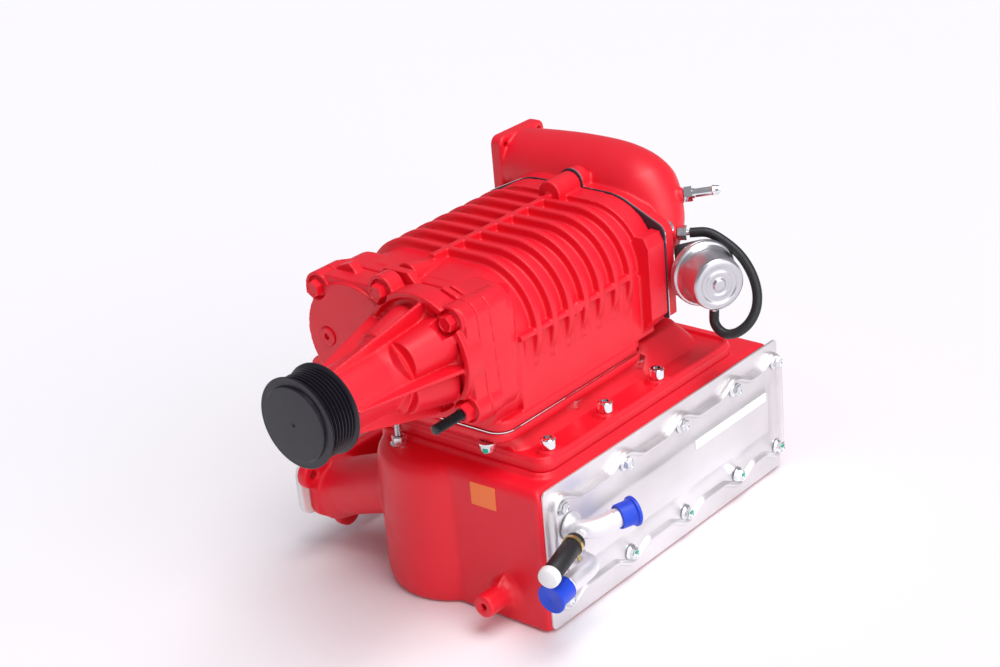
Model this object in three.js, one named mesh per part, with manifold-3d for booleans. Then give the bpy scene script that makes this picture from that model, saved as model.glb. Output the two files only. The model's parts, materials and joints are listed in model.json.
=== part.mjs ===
// Supercharger: a positive-displacement blower on a charge-cooled intake manifold.
// Frame: +Z up, millimetres, origin on the flat underside of the manifold box.
// -Y is the pulley end, +X is the side with the coolant pipes.
import * as THREE from 'three';
import { mergeVertices } from 'three/addons/utils/BufferGeometryUtils.js';
import { ConvexGeometry } from 'three/addons/geometries/ConvexGeometry.js';
import Module from 'manifold-3d';

const wasm = await Module();
wasm.setup();

// Driving dimensions
const C = 37.3;              // half the distance between the two rotor axes
const AXLE_Z = 243;          // height of both rotor axes
const ROTOR_R = 46.1;        // rotor lobe tip radius
const BORE_R = 46.9;         // rotor bore radius
const WALL_R = 51;           // outer radius of the bore wall
const RIB_R = 55.6;          // outer radius of the cooling ribs
const RIB_PITCH = 20.96;     // spacing of the cooling ribs along Y
const RIB_FIRST_Y = -108.7;  // centre of the front rib
const COVER_FRONT_Y = -190;  // bolt plane of the front cover
const COVER_BACK_Y = -176;   // joint between front cover and bearing plate
const PLATE_BACK_Y = -161;   // joint between bearing plate and rotor housing
const HOUSING_BACK_Y = 57;   // joint between rotor housing and rear gasket
const ELBOW_FRONT_Y = 59;    // joint between rear gasket and inlet elbow
const BLOWER_BASE_Z = 169;   // underside of the rotor housing
const PAD_Z = 167.4;         // top of the plenum pad under the blower
const LID_Z = 131;           // joint between plenum lid and manifold box
const BOX_BACK_Y = 166;      // rear face of the manifold box
const BOX_FRONT_Y = -171;    // front face of the manifold box
const BOX_RIGHT_X = 129;     // machined face for the cooler
const BOX_LEFT_X = -70;      // side the runners leave from
const RUNNER_Y = [-142, -52, 38, 128];
const FLANGE_X = -138;       // cylinder-head face of the runner flange
const PULLEY_R = 37.5;
const PULLEY_FRONT_Y = -334.4;
const PULLEY_BACK_Y = -302.6;
const DUCT_Y = 105;          // centre of the inlet duct
const DUCT_Z = 288;
const THROTTLE_X = -104;     // throttle mounting face
const COVER_BOLTS_Y = [-150.9, -62.9, 17.9, 98.8, 164.1];
const COVER_BOLTS_Z = [112.9, 26.8];
const ACT = { x: 148, y: 65.5, z: 227.9 };  // centre of the actuator's front face
const VALVE = { x: 38.4, y: 83.7, z: 212.3 };  // centre of the bypass throttle
const ROD_DIR = new THREE.Vector3(0.866, -0.5, 0).normalize();  // pull of the actuator
const SHAFT_DIR = new THREE.Vector3(0.5, 0.866, 0).normalize();  // bypass throttle shaft
const ROD_TRAVEL = 18;       // stroke of the actuator rod
const LEVER_SWING = 60;      // degrees the bypass throttle turns over that stroke

const RED = { color: 0xc8141e, roughness: 0.42, metalness: 0.1 };
const BARE = { color: 0xb9b6b4, roughness: 0.4, metalness: 0.9 };
const STEEL = { color: 0x9a9da3, roughness: 0.35, metalness: 0.9 };
const ZINC = { color: 0xc9ccd0, roughness: 0.25, metalness: 1 };
const BLACK = { color: 0x17171b, roughness: 0.55, metalness: 0.2 };
const BLUE = { color: 0x1238c4, roughness: 0.5, metalness: 0 };
const WHITE = { color: 0xf2f1ee, roughness: 0.6, metalness: 0 };
const GASKET = { color: 0x3a323e, roughness: 0.6, metalness: 0.3 };

const group = new THREE.Group();

// ---------- solids ----------
function solid(geometry) {
  const g = geometry.index ? geometry.toNonIndexed() : geometry.clone();
  g.deleteAttribute('normal');
  g.deleteAttribute('uv');
  const m = mergeVertices(g, 1e-4);
  const triVerts = Uint32Array.from(m.index.array);
  const vertProperties = Float32Array.from(m.attributes.position.array);
  return new wasm.Manifold(new wasm.Mesh({ numProp: 3, vertProperties, triVerts }));
}

function toGeometry(manifold) {
  const mesh = manifold.getMesh();
  const count = mesh.vertProperties.length / mesh.numProp;
  const position = new Float32Array(count * 3);
  for (let i = 0; i < count; i += 1) {
    for (let k = 0; k < 3; k += 1) position[i * 3 + k] = mesh.vertProperties[i * mesh.numProp + k];
  }
  const g = new THREE.BufferGeometry();
  g.setAttribute('position', new THREE.BufferAttribute(position, 3));
  g.setIndex(new THREE.BufferAttribute(Uint32Array.from(mesh.triVerts), 1));
  const flat = g.toNonIndexed();
  flat.computeVertexNormals();
  return flat;
}

const join = (list) => list.reduce((a, b) => a.add(b));
const cut = (body, list) => list.reduce((a, b) => a.subtract(b), body);

function add(name, body, look) {
  const geometry = body.isBufferGeometry ? body : toGeometry(body);
  const mesh = new THREE.Mesh(geometry, new THREE.MeshStandardMaterial(look));
  mesh.name = name;
  group.add(mesh);
  return mesh;
}

function box(x0, x1, y0, y1, z0, z1) {
  const g = new THREE.BoxGeometry(x1 - x0, y1 - y0, z1 - z0);
  return solid(g.translate((x0 + x1) / 2, (y0 + y1) / 2, (z0 + z1) / 2));
}

// Round bar between two points, with an optional taper; phase turns its facets.
function rod(a, b, ra, rb = ra, seg = 24, phase = 0) {
  const from = new THREE.Vector3(...a);
  const to = new THREE.Vector3(...b);
  const dir = to.clone().sub(from);
  const g = new THREE.CylinderGeometry(rb, ra, dir.length(), seg);
  g.rotateY(phase);
  const q = new THREE.Quaternion().setFromUnitVectors(new THREE.Vector3(0, 1, 0), dir.normalize());
  g.applyQuaternion(q);
  const mid = from.add(to).multiplyScalar(0.5);
  return solid(g.translate(mid.x, mid.y, mid.z));
}

const barX = (r, x0, x1, y, z, seg = 24, r1 = r) => rod([x0, y, z], [x1, y, z], r, r1, seg);
const barY = (r, y0, y1, x, z, seg = 24, r1 = r) => rod([x, y0, z], [x, y1, z], r, r1, seg);
const barZ = (r, z0, z1, x, y, seg = 24, r1 = r) => rod([x, y, z0], [x, y, z1], r, r1, seg);

// Turned part: profile is [radius, distance along the axis] pairs from point a towards b.
function turned(profile, a, b, seg = 24) {
  const points = profile.map(([r, t]) => new THREE.Vector2(r, t));
  const g = new THREE.LatheGeometry(points, seg);
  const from = new THREE.Vector3(...a);
  const dir = new THREE.Vector3(...b).sub(from).normalize();
  g.applyQuaternion(new THREE.Quaternion().setFromUnitVectors(new THREE.Vector3(0, 1, 0), dir));
  return solid(g.translate(from.x, from.y, from.z));
}

function roundedShape(a0, a1, b0, b1, r) {
  const s = new THREE.Shape();
  s.moveTo(a0 + r, b0);
  s.lineTo(a1 - r, b0);
  s.absarc(a1 - r, b0 + r, r, -Math.PI / 2, 0, false);
  s.lineTo(a1, b1 - r);
  s.absarc(a1 - r, b1 - r, r, 0, Math.PI / 2, false);
  s.lineTo(a0 + r, b1);
  s.absarc(a0 + r, b1 - r, r, Math.PI / 2, Math.PI, false);
  s.lineTo(a0, b0 + r);
  s.absarc(a0 + r, b0 + r, r, Math.PI, Math.PI * 1.5, false);
  return s;
}

// Extrusions of an outline: in plan along Z, in side view along X, in front view along Y.
function slabZ(shape, z0, z1, curveSegments = 2) {
  const g = new THREE.ExtrudeGeometry(shape, { depth: z1 - z0, bevelEnabled: false, curveSegments });
  return solid(g.translate(0, 0, z0));
}

function slabX(shape, x0, x1, curveSegments = 2) {
  const g = new THREE.ExtrudeGeometry(shape, { depth: x1 - x0, bevelEnabled: false, curveSegments });
  const m = new THREE.Matrix4().makeBasis(
    new THREE.Vector3(0, 1, 0), new THREE.Vector3(0, 0, 1), new THREE.Vector3(1, 0, 0));
  return solid(g.applyMatrix4(m).translate(x0, 0, 0));
}

function slabY(shape, y0, y1, curveSegments = 2) {
  const g = new THREE.ExtrudeGeometry(shape, { depth: y1 - y0, bevelEnabled: false, curveSegments });
  return solid(g.rotateX(Math.PI / 2).translate(0, y1, 0));
}

// Convex skin around a set of points.
function skin(points) {
  return solid(new ConvexGeometry(points.map((p) => new THREE.Vector3(...p))));
}

function ringPoints(center, radius, axis, count = 16, squash = 1) {
  const list = [];
  for (let i = 0; i < count; i += 1) {
    const t = ((i + 0.5) / count) * Math.PI * 2;
    const a = Math.cos(t) * radius;
    const b = Math.sin(t) * radius * squash;
    if (axis === 'x') list.push([center[0], center[1] + a, center[2] + b]);
    if (axis === 'y') list.push([center[0] + a, center[1], center[2] + b]);
    if (axis === 'z') list.push([center[0] + a, center[1] + b, center[2]]);
  }
  return list;
}

function rectPoints(axis, level, a0, a1, b0, b1, r) {
  const list = [];
  const corners = [[a1 - r, b1 - r, 0], [a0 + r, b1 - r, 1], [a0 + r, b0 + r, 2], [a1 - r, b0 + r, 3]];
  for (const [ca, cb, start] of corners) {
    for (const step of [0, 0.5, 1]) {
      const t = (start + step) * Math.PI / 2;
      const a = ca + r * Math.cos(t);
      const b = cb + r * Math.sin(t);
      if (axis === 'z') list.push([a, b, level]);
      if (axis === 'y') list.push([a, level, b]);
      if (axis === 'x') list.push([level, a, b]);
    }
  }
  return list;
}

// Outline of two equal lobes side by side joined by flat top and bottom.
function lobes(r) {
  const s = new THREE.Shape();
  s.moveTo(-C, AXLE_Z - r);
  s.lineTo(C, AXLE_Z - r);
  s.absarc(C, AXLE_Z, r, -Math.PI / 2, Math.PI / 2, false);
  s.lineTo(-C, AXLE_Z + r);
  s.absarc(-C, AXLE_Z, r, Math.PI / 2, Math.PI * 1.5, false);
  return s;
}

const twoBores = (r, y0, y1, seg = 32) => join(
  [C, -C].map((x) => barY(r, y0, y1, x, AXLE_Z, seg)));

// Radius of a faceted hole that a faceted shaft of radius r turns in.
const hole = (r, play = 0.06, seg = 16) => (r + play) / Math.cos(Math.PI / seg);

// Tube bent along a route of points.
function tube(route, r, steps, seg = 6) {
  const path = new THREE.CatmullRomCurve3(route.map((p) => new THREE.Vector3(...p)), false, 'centripetal');
  const s = new THREE.Shape();
  s.absarc(0, 0, r, 0, Math.PI * 2, false);
  const g = new THREE.ExtrudeGeometry(s, {
    steps, bevelEnabled: false, extrudePath: path, curveSegments: seg });
  return solid(g);
}

// Point p moved a distance t along a direction.
const along = (p, dir, t) => [p.x + dir.x * t, p.y + dir.y * t, p.z + dir.z * t];

// ---------- castings of the blower ----------
function webs() {
  const list = [];
  for (const [deg, rad] of [[80, 45], [-3, 45], [152, 52], [-70, 50]]) {
    const t = deg * Math.PI / 180;
    const at = (r, side, y) => [
      C + r * Math.cos(t) - side * Math.sin(t), y, AXLE_Z + r * Math.sin(t) + side * Math.cos(t)];
    const points = [];
    for (const side of [-2, 2]) {
      points.push(at(10, side, -191), at(rad, side, -191), at(rad, side, -196));
      points.push(at(28.5, side, -294), at(10, side, -294));
    }
    list.push(skin(points));
  }
  return join(list);
}

const COVER_BOLTS = [[72.2, 35.6], [-72.2, 35.6], [0, 46.9]];
const COVER_STUD = [82, -39];

function frontCover() {
  const lip = cut(barY(54.2, -195.7, COVER_BACK_Y, C, AXLE_Z, 20), [barY(49.5, -200, -190, C, AXLE_Z, 20)]);
  const drivenLobe = barY(49.3, -193, COVER_BACK_Y, -C, AXLE_Z - 4, 20);
  const middle = slabY(roundedShape(-74, 76, 194, 291, 14), COVER_FRONT_Y, COVER_BACK_Y);
  const bosses = [...COVER_BOLTS, COVER_STUD, [-78, -41.3]]
    .map(([x, z]) => barY(12, COVER_FRONT_Y, COVER_BACK_Y, x, AXLE_Z + z, 10));
  const profile = [
    [0, -191], [44, -191], [38, -206], [37, -232], [31, -246], [27.5, -294], [25, -298], [0, -298]];
  const snout = turned(profile.map(([r, y]) => [r, -191 - y]), [C, -191, AXLE_Z], [C, -299, AXLE_Z], 16);
  const body = join([lip, drivenLobe, middle, ...bosses, snout, webs()]);
  const rooms = [
    twoBores(43, -188, COVER_BACK_Y + 1, 16),
    barY(24, -214, -187, C, AXLE_Z, 16),
    barY(17.6, -232, -213, C, AXLE_Z, 16),
    barY(12, -285, -231, C, AXLE_Z, 12),
    barY(17.6, -300, -284, C, AXLE_Z, 16),
    barY(7.8, -194, -186, -65.2, AXLE_Z - 6.6, 10)];
  const holes = [...COVER_BOLTS, COVER_STUD].flatMap(([x, z]) => [
    barY(4.8, -198, COVER_BACK_Y + 1, x, AXLE_Z + z, 6),
    barY(10, -200, COVER_FRONT_Y, x, AXLE_Z + z, 10)]);
  return cut(body, [...rooms, ...holes]);
}

function bearingPlate() {
  const block = slabY(roundedShape(-86.5, 86.5, 181, 293, 16), COVER_BACK_Y, PLATE_BACK_Y);
  const tabs = [[72.2, 35.6], [-72.2, 35.6], [82, -39], [-78, -41.3]]
    .map(([x, z]) => barY(12, COVER_BACK_Y, PLATE_BACK_Y, x, AXLE_Z + z, 12));
  return cut(join([block, ...tabs]), [twoBores(20.6, COVER_BACK_Y - 1, PLATE_BACK_Y + 1, 16)]);
}

function rotorHousing() {
  const parts = [slabY(roundedShape(-86.5, 86.5, 172, 293, 20), PLATE_BACK_Y, -127)];
  parts.push(slabY(lobes(WALL_R), -128, 40, 3));
  for (let k = 0; k < 7; k += 1) {
    const y = RIB_FIRST_Y + k * RIB_PITCH;
    parts.push(slabY(lobes(RIB_R), y - 2.6, y + 2.6, 3));
    parts.push(box(-87.5, 87.5, y - 2.2, y + 2.2, 206, 242));
  }
  parts.push(box(-2.4, 2.4, -128, 24, AXLE_Z + 40, AXLE_Z + RIB_R - 0.8));
  parts.push(box(-90.5, 90.5, -128, 24, 240.5, 245.5));
  parts.push(box(-86.5, 86.5, -128, 28, 178, 210));
  parts.push(box(-84, 84, -128, 28, 205, 240));
  parts.push(slabZ(roundedShape(-86.5, 86.5, -158, 32, 14), BLOWER_BASE_Z, 180));
  parts.push(rearFlange(34, HOUSING_BACK_Y));
  parts.push(box(-88, 88, 20, 50, 186, 232));
  const rooms = [
    twoBores(BORE_R, PLATE_BACK_Y - 1, 28, 24),
    slabY(roundedShape(-36, 36, AXLE_Z + 17, AXLE_Z + 43, 8), 20, HOUSING_BACK_Y + 1),
    slabZ(roundedShape(-34, 34, -146, -40, 10), BLOWER_BASE_Z - 1, 224),
    twoBores(16.6, 27, 50, 16)];
  return cut(join(parts), rooms);
}

// Outline shared by the housing's rear flange, its gasket and the elbow flange.
function rearFlange(y0, y1) {
  const plate = slabY(roundedShape(-98, 98, 184, 278, 14), y0, y1);
  const top = slabY(lobes(WALL_R + 2), y0, y1, 3);
  const boss = barY(12, y0, y1, 0, AXLE_Z + 56, 10);
  const neck = box(-12, 12, y0, y1, AXLE_Z + 30, AXLE_Z + 56);
  const shoulders = skin([y0, y1].flatMap((y) => [
    [-C, y, AXLE_Z + 52], [C, y, AXLE_Z + 52], [93, y, 273], [-93, y, 273], [90, y, 240], [-90, y, 240]]));
  return join([plate, top, boss, neck, shoulders]);
}

function rearGasket() {
  const window = slabY(roundedShape(-40, 40, AXLE_Z + 14, AXLE_Z + 46, 8), 50, 65);
  return cut(rearFlange(HOUSING_BACK_Y, ELBOW_FRONT_Y), [window]);
}

function inletElbow() {
  const hood = skin([
    ...rectPoints('y', 66, -70, 86, 212, 294, 18),
    ...ringPoints([-30, DUCT_Y, DUCT_Z], 35, 'x', 14),
    ...ringPoints([44, DUCT_Y, DUCT_Z - 1], 37, 'x', 14),
    ...ringPoints([66, DUCT_Y - 3, DUCT_Z - 8], 31, 'x', 12),
    ...ringPoints([81, DUCT_Y - 10, DUCT_Z - 14], 18, 'x', 10)]);
  const neck = skin([
    ...ringPoints([VALVE.x, VALVE.y, 228], 23, 'z', 12),
    ...ringPoints([VALVE.x, DUCT_Y - 12, 262], 30, 'z', 12)]);
  const duct = barX(30, THROTTLE_X + 6, -30, DUCT_Y, DUCT_Z, 16, 35);
  const mount = slabX(roundedShape(DUCT_Y - 32, DUCT_Y + 32, DUCT_Z - 32, DUCT_Z + 32, 8),
    THROTTLE_X, THROTTLE_X + 12);
  const leg = barZ(23, 168, 229, VALVE.x, VALVE.y, 16);
  const foot = slabZ(roundedShape(10, 67, 60, 112, 12), 168, 176);
  const bosses = [
    rod([70, 76, 258], [91, 86.5, 258], 8, 7.5, 10),
    rod([62, 91, 282.3], [85, 106.6, 285.2], 8, 7, 10),
    rod(along(VALVE, SHAFT_DIR, -23), along(VALVE, SHAFT_DIR, 30), 8.5, 8.5, 12)];
  const body = join([rearFlange(ELBOW_FRONT_Y, 71), hood, neck, duct, mount, leg, foot, ...bosses]);
  const rooms = [
    barX(25, THROTTLE_X - 1, -29, DUCT_Y, DUCT_Z, 16, 28),
    skin([
      ...rectPoints('y', 72, -36, 36, AXLE_Z + 18, AXLE_Z + 42, 6),
      ...ringPoints([-30, DUCT_Y, DUCT_Z], 28, 'x', 12),
      ...ringPoints([44, DUCT_Y, DUCT_Z - 1], 30, 'x', 12)]),
    slabY(roundedShape(-36, 36, AXLE_Z + 18, AXLE_Z + 42, 6), 50, 76),
    barZ(17.8, 160, 262, VALVE.x, VALVE.y, 16),
    rod(along(VALVE, SHAFT_DIR, -21.8), along(VALVE, SHAFT_DIR, 40), hole(4), hole(4), 16)];
  const holes = [-24, 24].flatMap((dy) => [-24, 24].map((dz) => barX(3.2, THROTTLE_X - 1, THROTTLE_X + 13,
    DUCT_Y + dy, DUCT_Z + dz, 6)));
  return cut(body, [...rooms, ...holes]);
}

// ---------- plenum and manifold ----------
function baseGasket() {
  const sheet = slabZ(roundedShape(-87.5, 87.5, -159, 33, 14), PAD_Z, BLOWER_BASE_Z);
  return cut(sheet, [slabZ(roundedShape(-38, 38, -150, -36, 10), PAD_Z - 1, BLOWER_BASE_Z + 1)]);
}

const LID_BOLTS = [[108, -128], [108, -51], [108, 23]];

function upperPlenum() {
  const plate = slabZ(roundedShape(-66, 120, -149, 126, 14), 136, 146);
  const pedestal = skin([
    ...rectPoints('z', 145, -62, 90, -142, 112, 18),
    ...rectPoints('z', 160, -76, 76, -150, 30, 16)]);
  const pad = slabZ(roundedShape(-88, 88, -160, 34, 14), 159.4, PAD_Z);
  const hump = skin([
    ...rectPoints('z', 145, -10, 92, 20, 125, 16),
    ...rectPoints('z', 167.6, 6, 74, 56, 116, 14)]);
  const seats = LID_BOLTS.map(([x, y]) => barZ(10, 145, 149, x, y, 10, 8));
  const rooms = [
    skin([...rectPoints('z', 130, -52, 82, -134, 102, 14), ...rectPoints('z', 156, -66, 66, -142, 24, 12)]),
    slabZ(roundedShape(-38, 38, -148, -38, 10), 150, PAD_Z + 1),
    barZ(17.8, 125, 175, VALVE.x, VALVE.y, 16)];
  const holes = LID_BOLTS.map(([x, y]) => barZ(4.1, 130, 150, x, y, 6));
  return cut(join([plate, pedestal, pad, hump, ...seats]), [...rooms, ...holes]);
}

function coolerHousing() {
  const outer = join([
    slabZ(roundedShape(BOX_LEFT_X, BOX_RIGHT_X, -125, BOX_BACK_Y, 24), 0, LID_Z),
    box(80, BOX_RIGHT_X, -140, BOX_BACK_Y, 0, LID_Z),
    box(-6, BOX_RIGHT_X, BOX_FRONT_Y, -100, 0, LID_Z),
    barZ(62, 0, LID_Z, -6, -125, 28),
    slabZ(roundedShape(-66, 120, -151, 128, 14), LID_Z - 1, 136),
    barY(10, -202, -150, 86, 29, 16)]);
  const slope = 0.348;
  const runners = RUNNER_Y.map((y) => rod(
    [-40, y, 77 + 22 * slope], [-136, y, 77 - 74 * slope], 27, 25.5, 14));
  const flange = [slabX(roundedShape(-172, 158, 33, 84, 12), FLANGE_X, FLANGE_X + 10)];
  for (const y of RUNNER_Y) flange.push(barX(14, FLANGE_X, FLANGE_X + 10, y + 9, 25, 12));
  for (const y of [-171, 157]) flange.push(barX(13, FLANGE_X, FLANGE_X + 10, y, 79, 12));
  const body = cut(join([outer, ...runners, ...flange]), [box(-160, FLANGE_X, -220, 220, -20, 120)]);
  const rooms = [
    slabZ(roundedShape(-62, 122, -158, 156, 18), 7, 124),
    box(118, 140, -152, 148, 14, 118),
    slabZ(roundedShape(-50, 80, -134, 102, 12), 120, 140),
    barY(3.2, -204, -150, 86, 29, 10)];
  const ports = RUNNER_Y.map((y) => rod([-52, y, 77 + 10 * slope], [-150, y, 77 - 88 * slope], 20.5, 19, 12));
  const holes = [[-171, 79], [157, 79], ...RUNNER_Y.map((y) => [y + 9, 25])]
    .map(([y, z]) => barX(4.3, FLANGE_X - 1, FLANGE_X + 11, y, z, 6));
  for (const [x, y] of LID_BOLTS) holes.push(barZ(4, 120, 140, x, y, 6));
  holes.push(barZ(3.8, 110, 140, -30, -159.5, 8));
  return cut(body, [...rooms, ...ports, ...holes]);
}

function scallopedCover() {
  const bolts = COVER_BOLTS_Y.flatMap((y) => COVER_BOLTS_Z.map((z) => [y, z]));
  const edge = slabX(roundedShape(-156, 168, 27, 112, 8), 131, 136.5);
  const ends = [box(131, 136.5, -163, -140, 26, 113), box(131, 136.5, 150, 173, 26, 113)];
  const ears = bolts.map(([y, z]) => barX(12.5, 131, 136.5, Math.min(y, 161.3), z, 8));
  const pan = skin([
    ...rectPoints('x', 136, -118, 150, 38, 102, 14), ...rectPoints('x', 141, -112, 144, 44, 96, 12)]);
  const rooms = [box(130, 134.5, -148, -104, 46, 100), box(130, 138.5, -106, 138, 48, 92)];
  const pipeHoles = [barX(7.2, 130, 145, -140, 90, 12), barX(7.2, 130, 145, -136, 57, 12)];
  return cut(join([edge, ...ends, ...ears, pan]), [...rooms, ...pipeHoles]);
}

function headerPlate() {
  const plate = slabX(roundedShape(-167, 173.8, 2.5, 131, 5), BOX_RIGHT_X, 131);
  return cut(plate, [box(128, 132, -126, 138, 30, 106)]);
}

function coolerCore() {
  const block = box(8, 130.7, -125.6, 137.6, 30.4, 105.6);
  const slots = [];
  for (let k = 1; k < 6; k += 1) slots.push(box(20, 120, -127, 139, 29.2 + k * 12.53, 31.6 + k * 12.53));
  return cut(block, slots);
}

const PIPE_R = 8.2;          // outer radius of the coolant pipes
const OUTLET_ROUTE = [[136.8, -140, 90], [145, -140, 90], [153, -134, 90.5], [159, -120, 91.5],
  [164, -106, 92.5], [167.2, -98, 93]];
const INLET_ROUTE = [[136.8, -136, 57], [144.5, -136, 57], [151.5, -140, 58.5], [156, -150, 60],
  [157.5, -166, 60.5], [158, -197.6, 58.5]];

function coolantOutlet() {
  const flange = barX(12, 136.8, 140, -140, 90, 16);
  const nipple = rod(along(BLEED_START, BLEED_DIR, -14), along(BLEED_START, BLEED_DIR, 18), 4, 4, 12);
  return join([tube(OUTLET_ROUTE, PIPE_R, 10, 6), flange, nipple]);
}

function coolantInlet() {
  return join([tube(INLET_ROUTE, PIPE_R, 10, 6), barX(12, 136.8, 140, -136, 57, 16)]);
}

const BLEED_DIR = new THREE.Vector3(12.9, -54.6, -5).normalize();
const BLEED_START = { x: 152.1, y: -155, z: 88.8 };

function sleeve() {
  const outer = rod(along(BLEED_START, BLEED_DIR, 0), along(BLEED_START, BLEED_DIR, 48.5), 8.2, 8.2, 16);
  const inner = rod(along(BLEED_START, BLEED_DIR, -1), along(BLEED_START, BLEED_DIR, 50), 4.5, 4.5, 12);
  return cut(outer, [inner]);
}

function bleedPlug() {
  const stem = rod(along(BLEED_START, BLEED_DIR, 26), along(BLEED_START, BLEED_DIR, 50), 4, 4, 12);
  const cap = rod(along(BLEED_START, BLEED_DIR, 48.9), along(BLEED_START, BLEED_DIR, 56.3), 9.4, 8.2, 20);
  return join([stem, cap]);
}

function bleedClamp() {
  const outer = rod(along(BLEED_START, BLEED_DIR, 4), along(BLEED_START, BLEED_DIR, 11), 9.8, 9.8, 16);
  const inner = rod(along(BLEED_START, BLEED_DIR, 0), along(BLEED_START, BLEED_DIR, 14), 8.7, 8.7, 16);
  return cut(outer, [inner]);
}

// Push-on cap over the open end of a coolant pipe.
function pipeCap(end, dir, length) {
  const p = { x: end[0], y: end[1], z: end[2] };
  const shell = join([
    rod(along(p, dir, -length), along(p, dir, 2), 10.4, 10.8, 14),
    rod(along(p, dir, -1), along(p, dir, 2), 12.9, 12.9, 14)]);
  return cut(shell, [rod(along(p, dir, -length - 2), along(p, dir, 0.4), 8.9, 8.9, 14)]);
}

// ---------- bypass valve and actuator ----------
const actAt = (t) => along(ACT, ROD_DIR, t);

function actuatorCan() {
  const shell = join([
    rod(actAt(-24), actAt(0), 24, 23.5, 16),
    rod(actAt(-33), actAt(-29.5), 29.6, 29.6, 20),
    rod(actAt(-29.6), actAt(-23.9), 27.5, 24, 16),
    rod(actAt(-14), [actAt(-14)[0], actAt(-14)[1], ACT.z - 32], 3, 3, 8)]);
  return cut(shell, [
    rod(actAt(-34), actAt(-1.6), 22.2, 22.2, 20),
    rod(actAt(-14), [actAt(-14)[0], actAt(-14)[1], ACT.z - 40], 1.4, 1.4, 8)]);
}

function actuatorBase() {
  const shell = join([
    rod(actAt(-36.4), actAt(-33), 29.6, 29.6, 20),
    rod(actAt(-50), actAt(-36), 18, 23.5, 20)]);
  return cut(shell, [rod(actAt(-48), actAt(-32), 17, 22.2, 20), rod(actAt(-52), actAt(-46), 5, 5, 10)]);
}

function actuatorDiaphragm() {
  const cup = join([
    rod(actAt(-45), actAt(-42.5), 13, 15, 16), rod(actAt(-42.6), actAt(-41.4), 15.6, 15.6, 16)]);
  return cut(cup, [rod(actAt(-50), actAt(-40), 3.4, 3.4, 12)]);
}

function actuatorSpring() {
  const turns = 4;
  const route = [];
  for (let i = 0; i <= 40; i += 1) {
    const a = (i / 40) * turns * Math.PI * 2;
    const t = -39.6 + (i / 40) * 36.4;
    const base = actAt(t);
    route.push([
      base[0] + SHAFT_DIR.x * 11 * Math.cos(a), base[1] + SHAFT_DIR.y * 11 * Math.cos(a),
      base[2] + 11 * Math.sin(a)]);
  }
  return tube(route, 1.2, 40, 2);
}

// The rod ends in an eye with a cross pin that runs in the lever's slot.
const PIN_AT = (VALVE.x - ACT.x) * ROD_DIR.x + (VALVE.y - ACT.y) * ROD_DIR.y - ROD_TRAVEL / 2;

function actuatorRod() {
  const tip = actAt(PIN_AT);
  const p = { x: tip[0], y: tip[1], z: tip[2] };
  return join([
    rod(actAt(-40.6), actAt(PIN_AT + 4), 3, 3, 12),
    rod(along(p, SHAFT_DIR, -2.6), along(p, SHAFT_DIR, 3), 5.5, 5.5, 16),
    rod(along(p, SHAFT_DIR, -10), along(p, SHAFT_DIR, 2), 2.5, 2.5, 12)]);
}

// Solids of the valve are drawn with the shaft along local X and then turned onto the shaft line.
function onShaft(body) {
  const m = new THREE.Matrix4().makeBasis(SHAFT_DIR, ROD_DIR.clone().negate(), new THREE.Vector3(0, 0, 1));
  m.setPosition(VALVE.x, VALVE.y, VALVE.z);
  const g = toGeometry(body);
  return solid(g.applyMatrix4(m));
}

function bypassLever() {
  const half = (LEVER_SWING / 2) * Math.PI / 180;
  const tip = (r) => [r * Math.sin(half), r * Math.cos(half)];
  const bar = (r0, r1, w, x0, x1) => {
    const [a0, b0] = tip(r0);
    const [a1, b1] = tip(r1);
    const u = [Math.cos(half), -Math.sin(half)];
    const pts = [];
    for (const x of [x0, x1]) {
      for (const side of [-w, w]) {
        pts.push([x, a0 + u[0] * side, b0 + u[1] * side], [x, a1 + u[0] * side, b1 + u[1] * side]);
      }
    }
    return skin(pts);
  };
  const plate = join([bar(-4, 24, 7, 31, 35), barX(9, 31, 35, 0, 0, 12)]);
  return onShaft(cut(plate, [bar(12.2, 21, 3.1, 30, 36), barX(4.3, 30, 36, 0, 0, 12)]));
}

function bypassShaft() {
  const bar = barX(4, -21, 37.5, 0, 0, 16);
  return onShaft(cut(bar, [box(-17.6, 17.6, -6, 6, -0.3, 2.3)]));
}

function bypassPlate() {
  return onShaft(barZ(17, 0, 2, 0, 0, 16));
}

// Sheet-metal bracket: a plate behind the actuator and a tab on the elbow flange.
function actuatorBracket() {
  const sheet = cut(box(-22, 16, -53.4, -50.4, -18, 30), [barY(6, -56, -49, 0, 0, 12)]);
  const m = new THREE.Matrix4().makeBasis(SHAFT_DIR, ROD_DIR, new THREE.Vector3(0, 0, -1));
  m.setPosition(ACT.x, ACT.y, ACT.z);
  const plate = solid(toGeometry(sheet).applyMatrix4(m));
  return join([plate, box(86.6, 96, 71.3, 74.3, 204, 240)]);
}

// ---------- drive train ----------
function pulley() {
  const groove = 3.56;
  const profile = [[8.9, 6], [8.9, 31.8], [37.5, 31.8], [37.5, 29.6]];
  for (let k = 0; k < 8; k += 1) {
    profile.push([32, 29.4 - (k + 0.5) * groove], [34.6, 29.4 - (k + 1) * groove]);
  }
  profile.push([37.5, 0], [29, 0], [28, -1.8], [0, -1.8], [0, 6], [8.9, 6]);
  return turned(profile.reverse(), [C, PULLEY_FRONT_Y, AXLE_Z], [C, PULLEY_BACK_Y, AXLE_Z], 22);
}

function ring(inner, outer, y0, y1, x, seg = 16) {
  return cut(barY(outer, y0, y1, x, AXLE_Z, seg), [barY(inner, y0 - 1, y1 + 1, x, AXLE_Z, seg)]);
}

function coupling() {
  return cut(barY(20, -211, -200, C, AXLE_Z, 16), [barY(8.9, -212, -205, C, AXLE_Z, 16)]);
}

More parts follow.
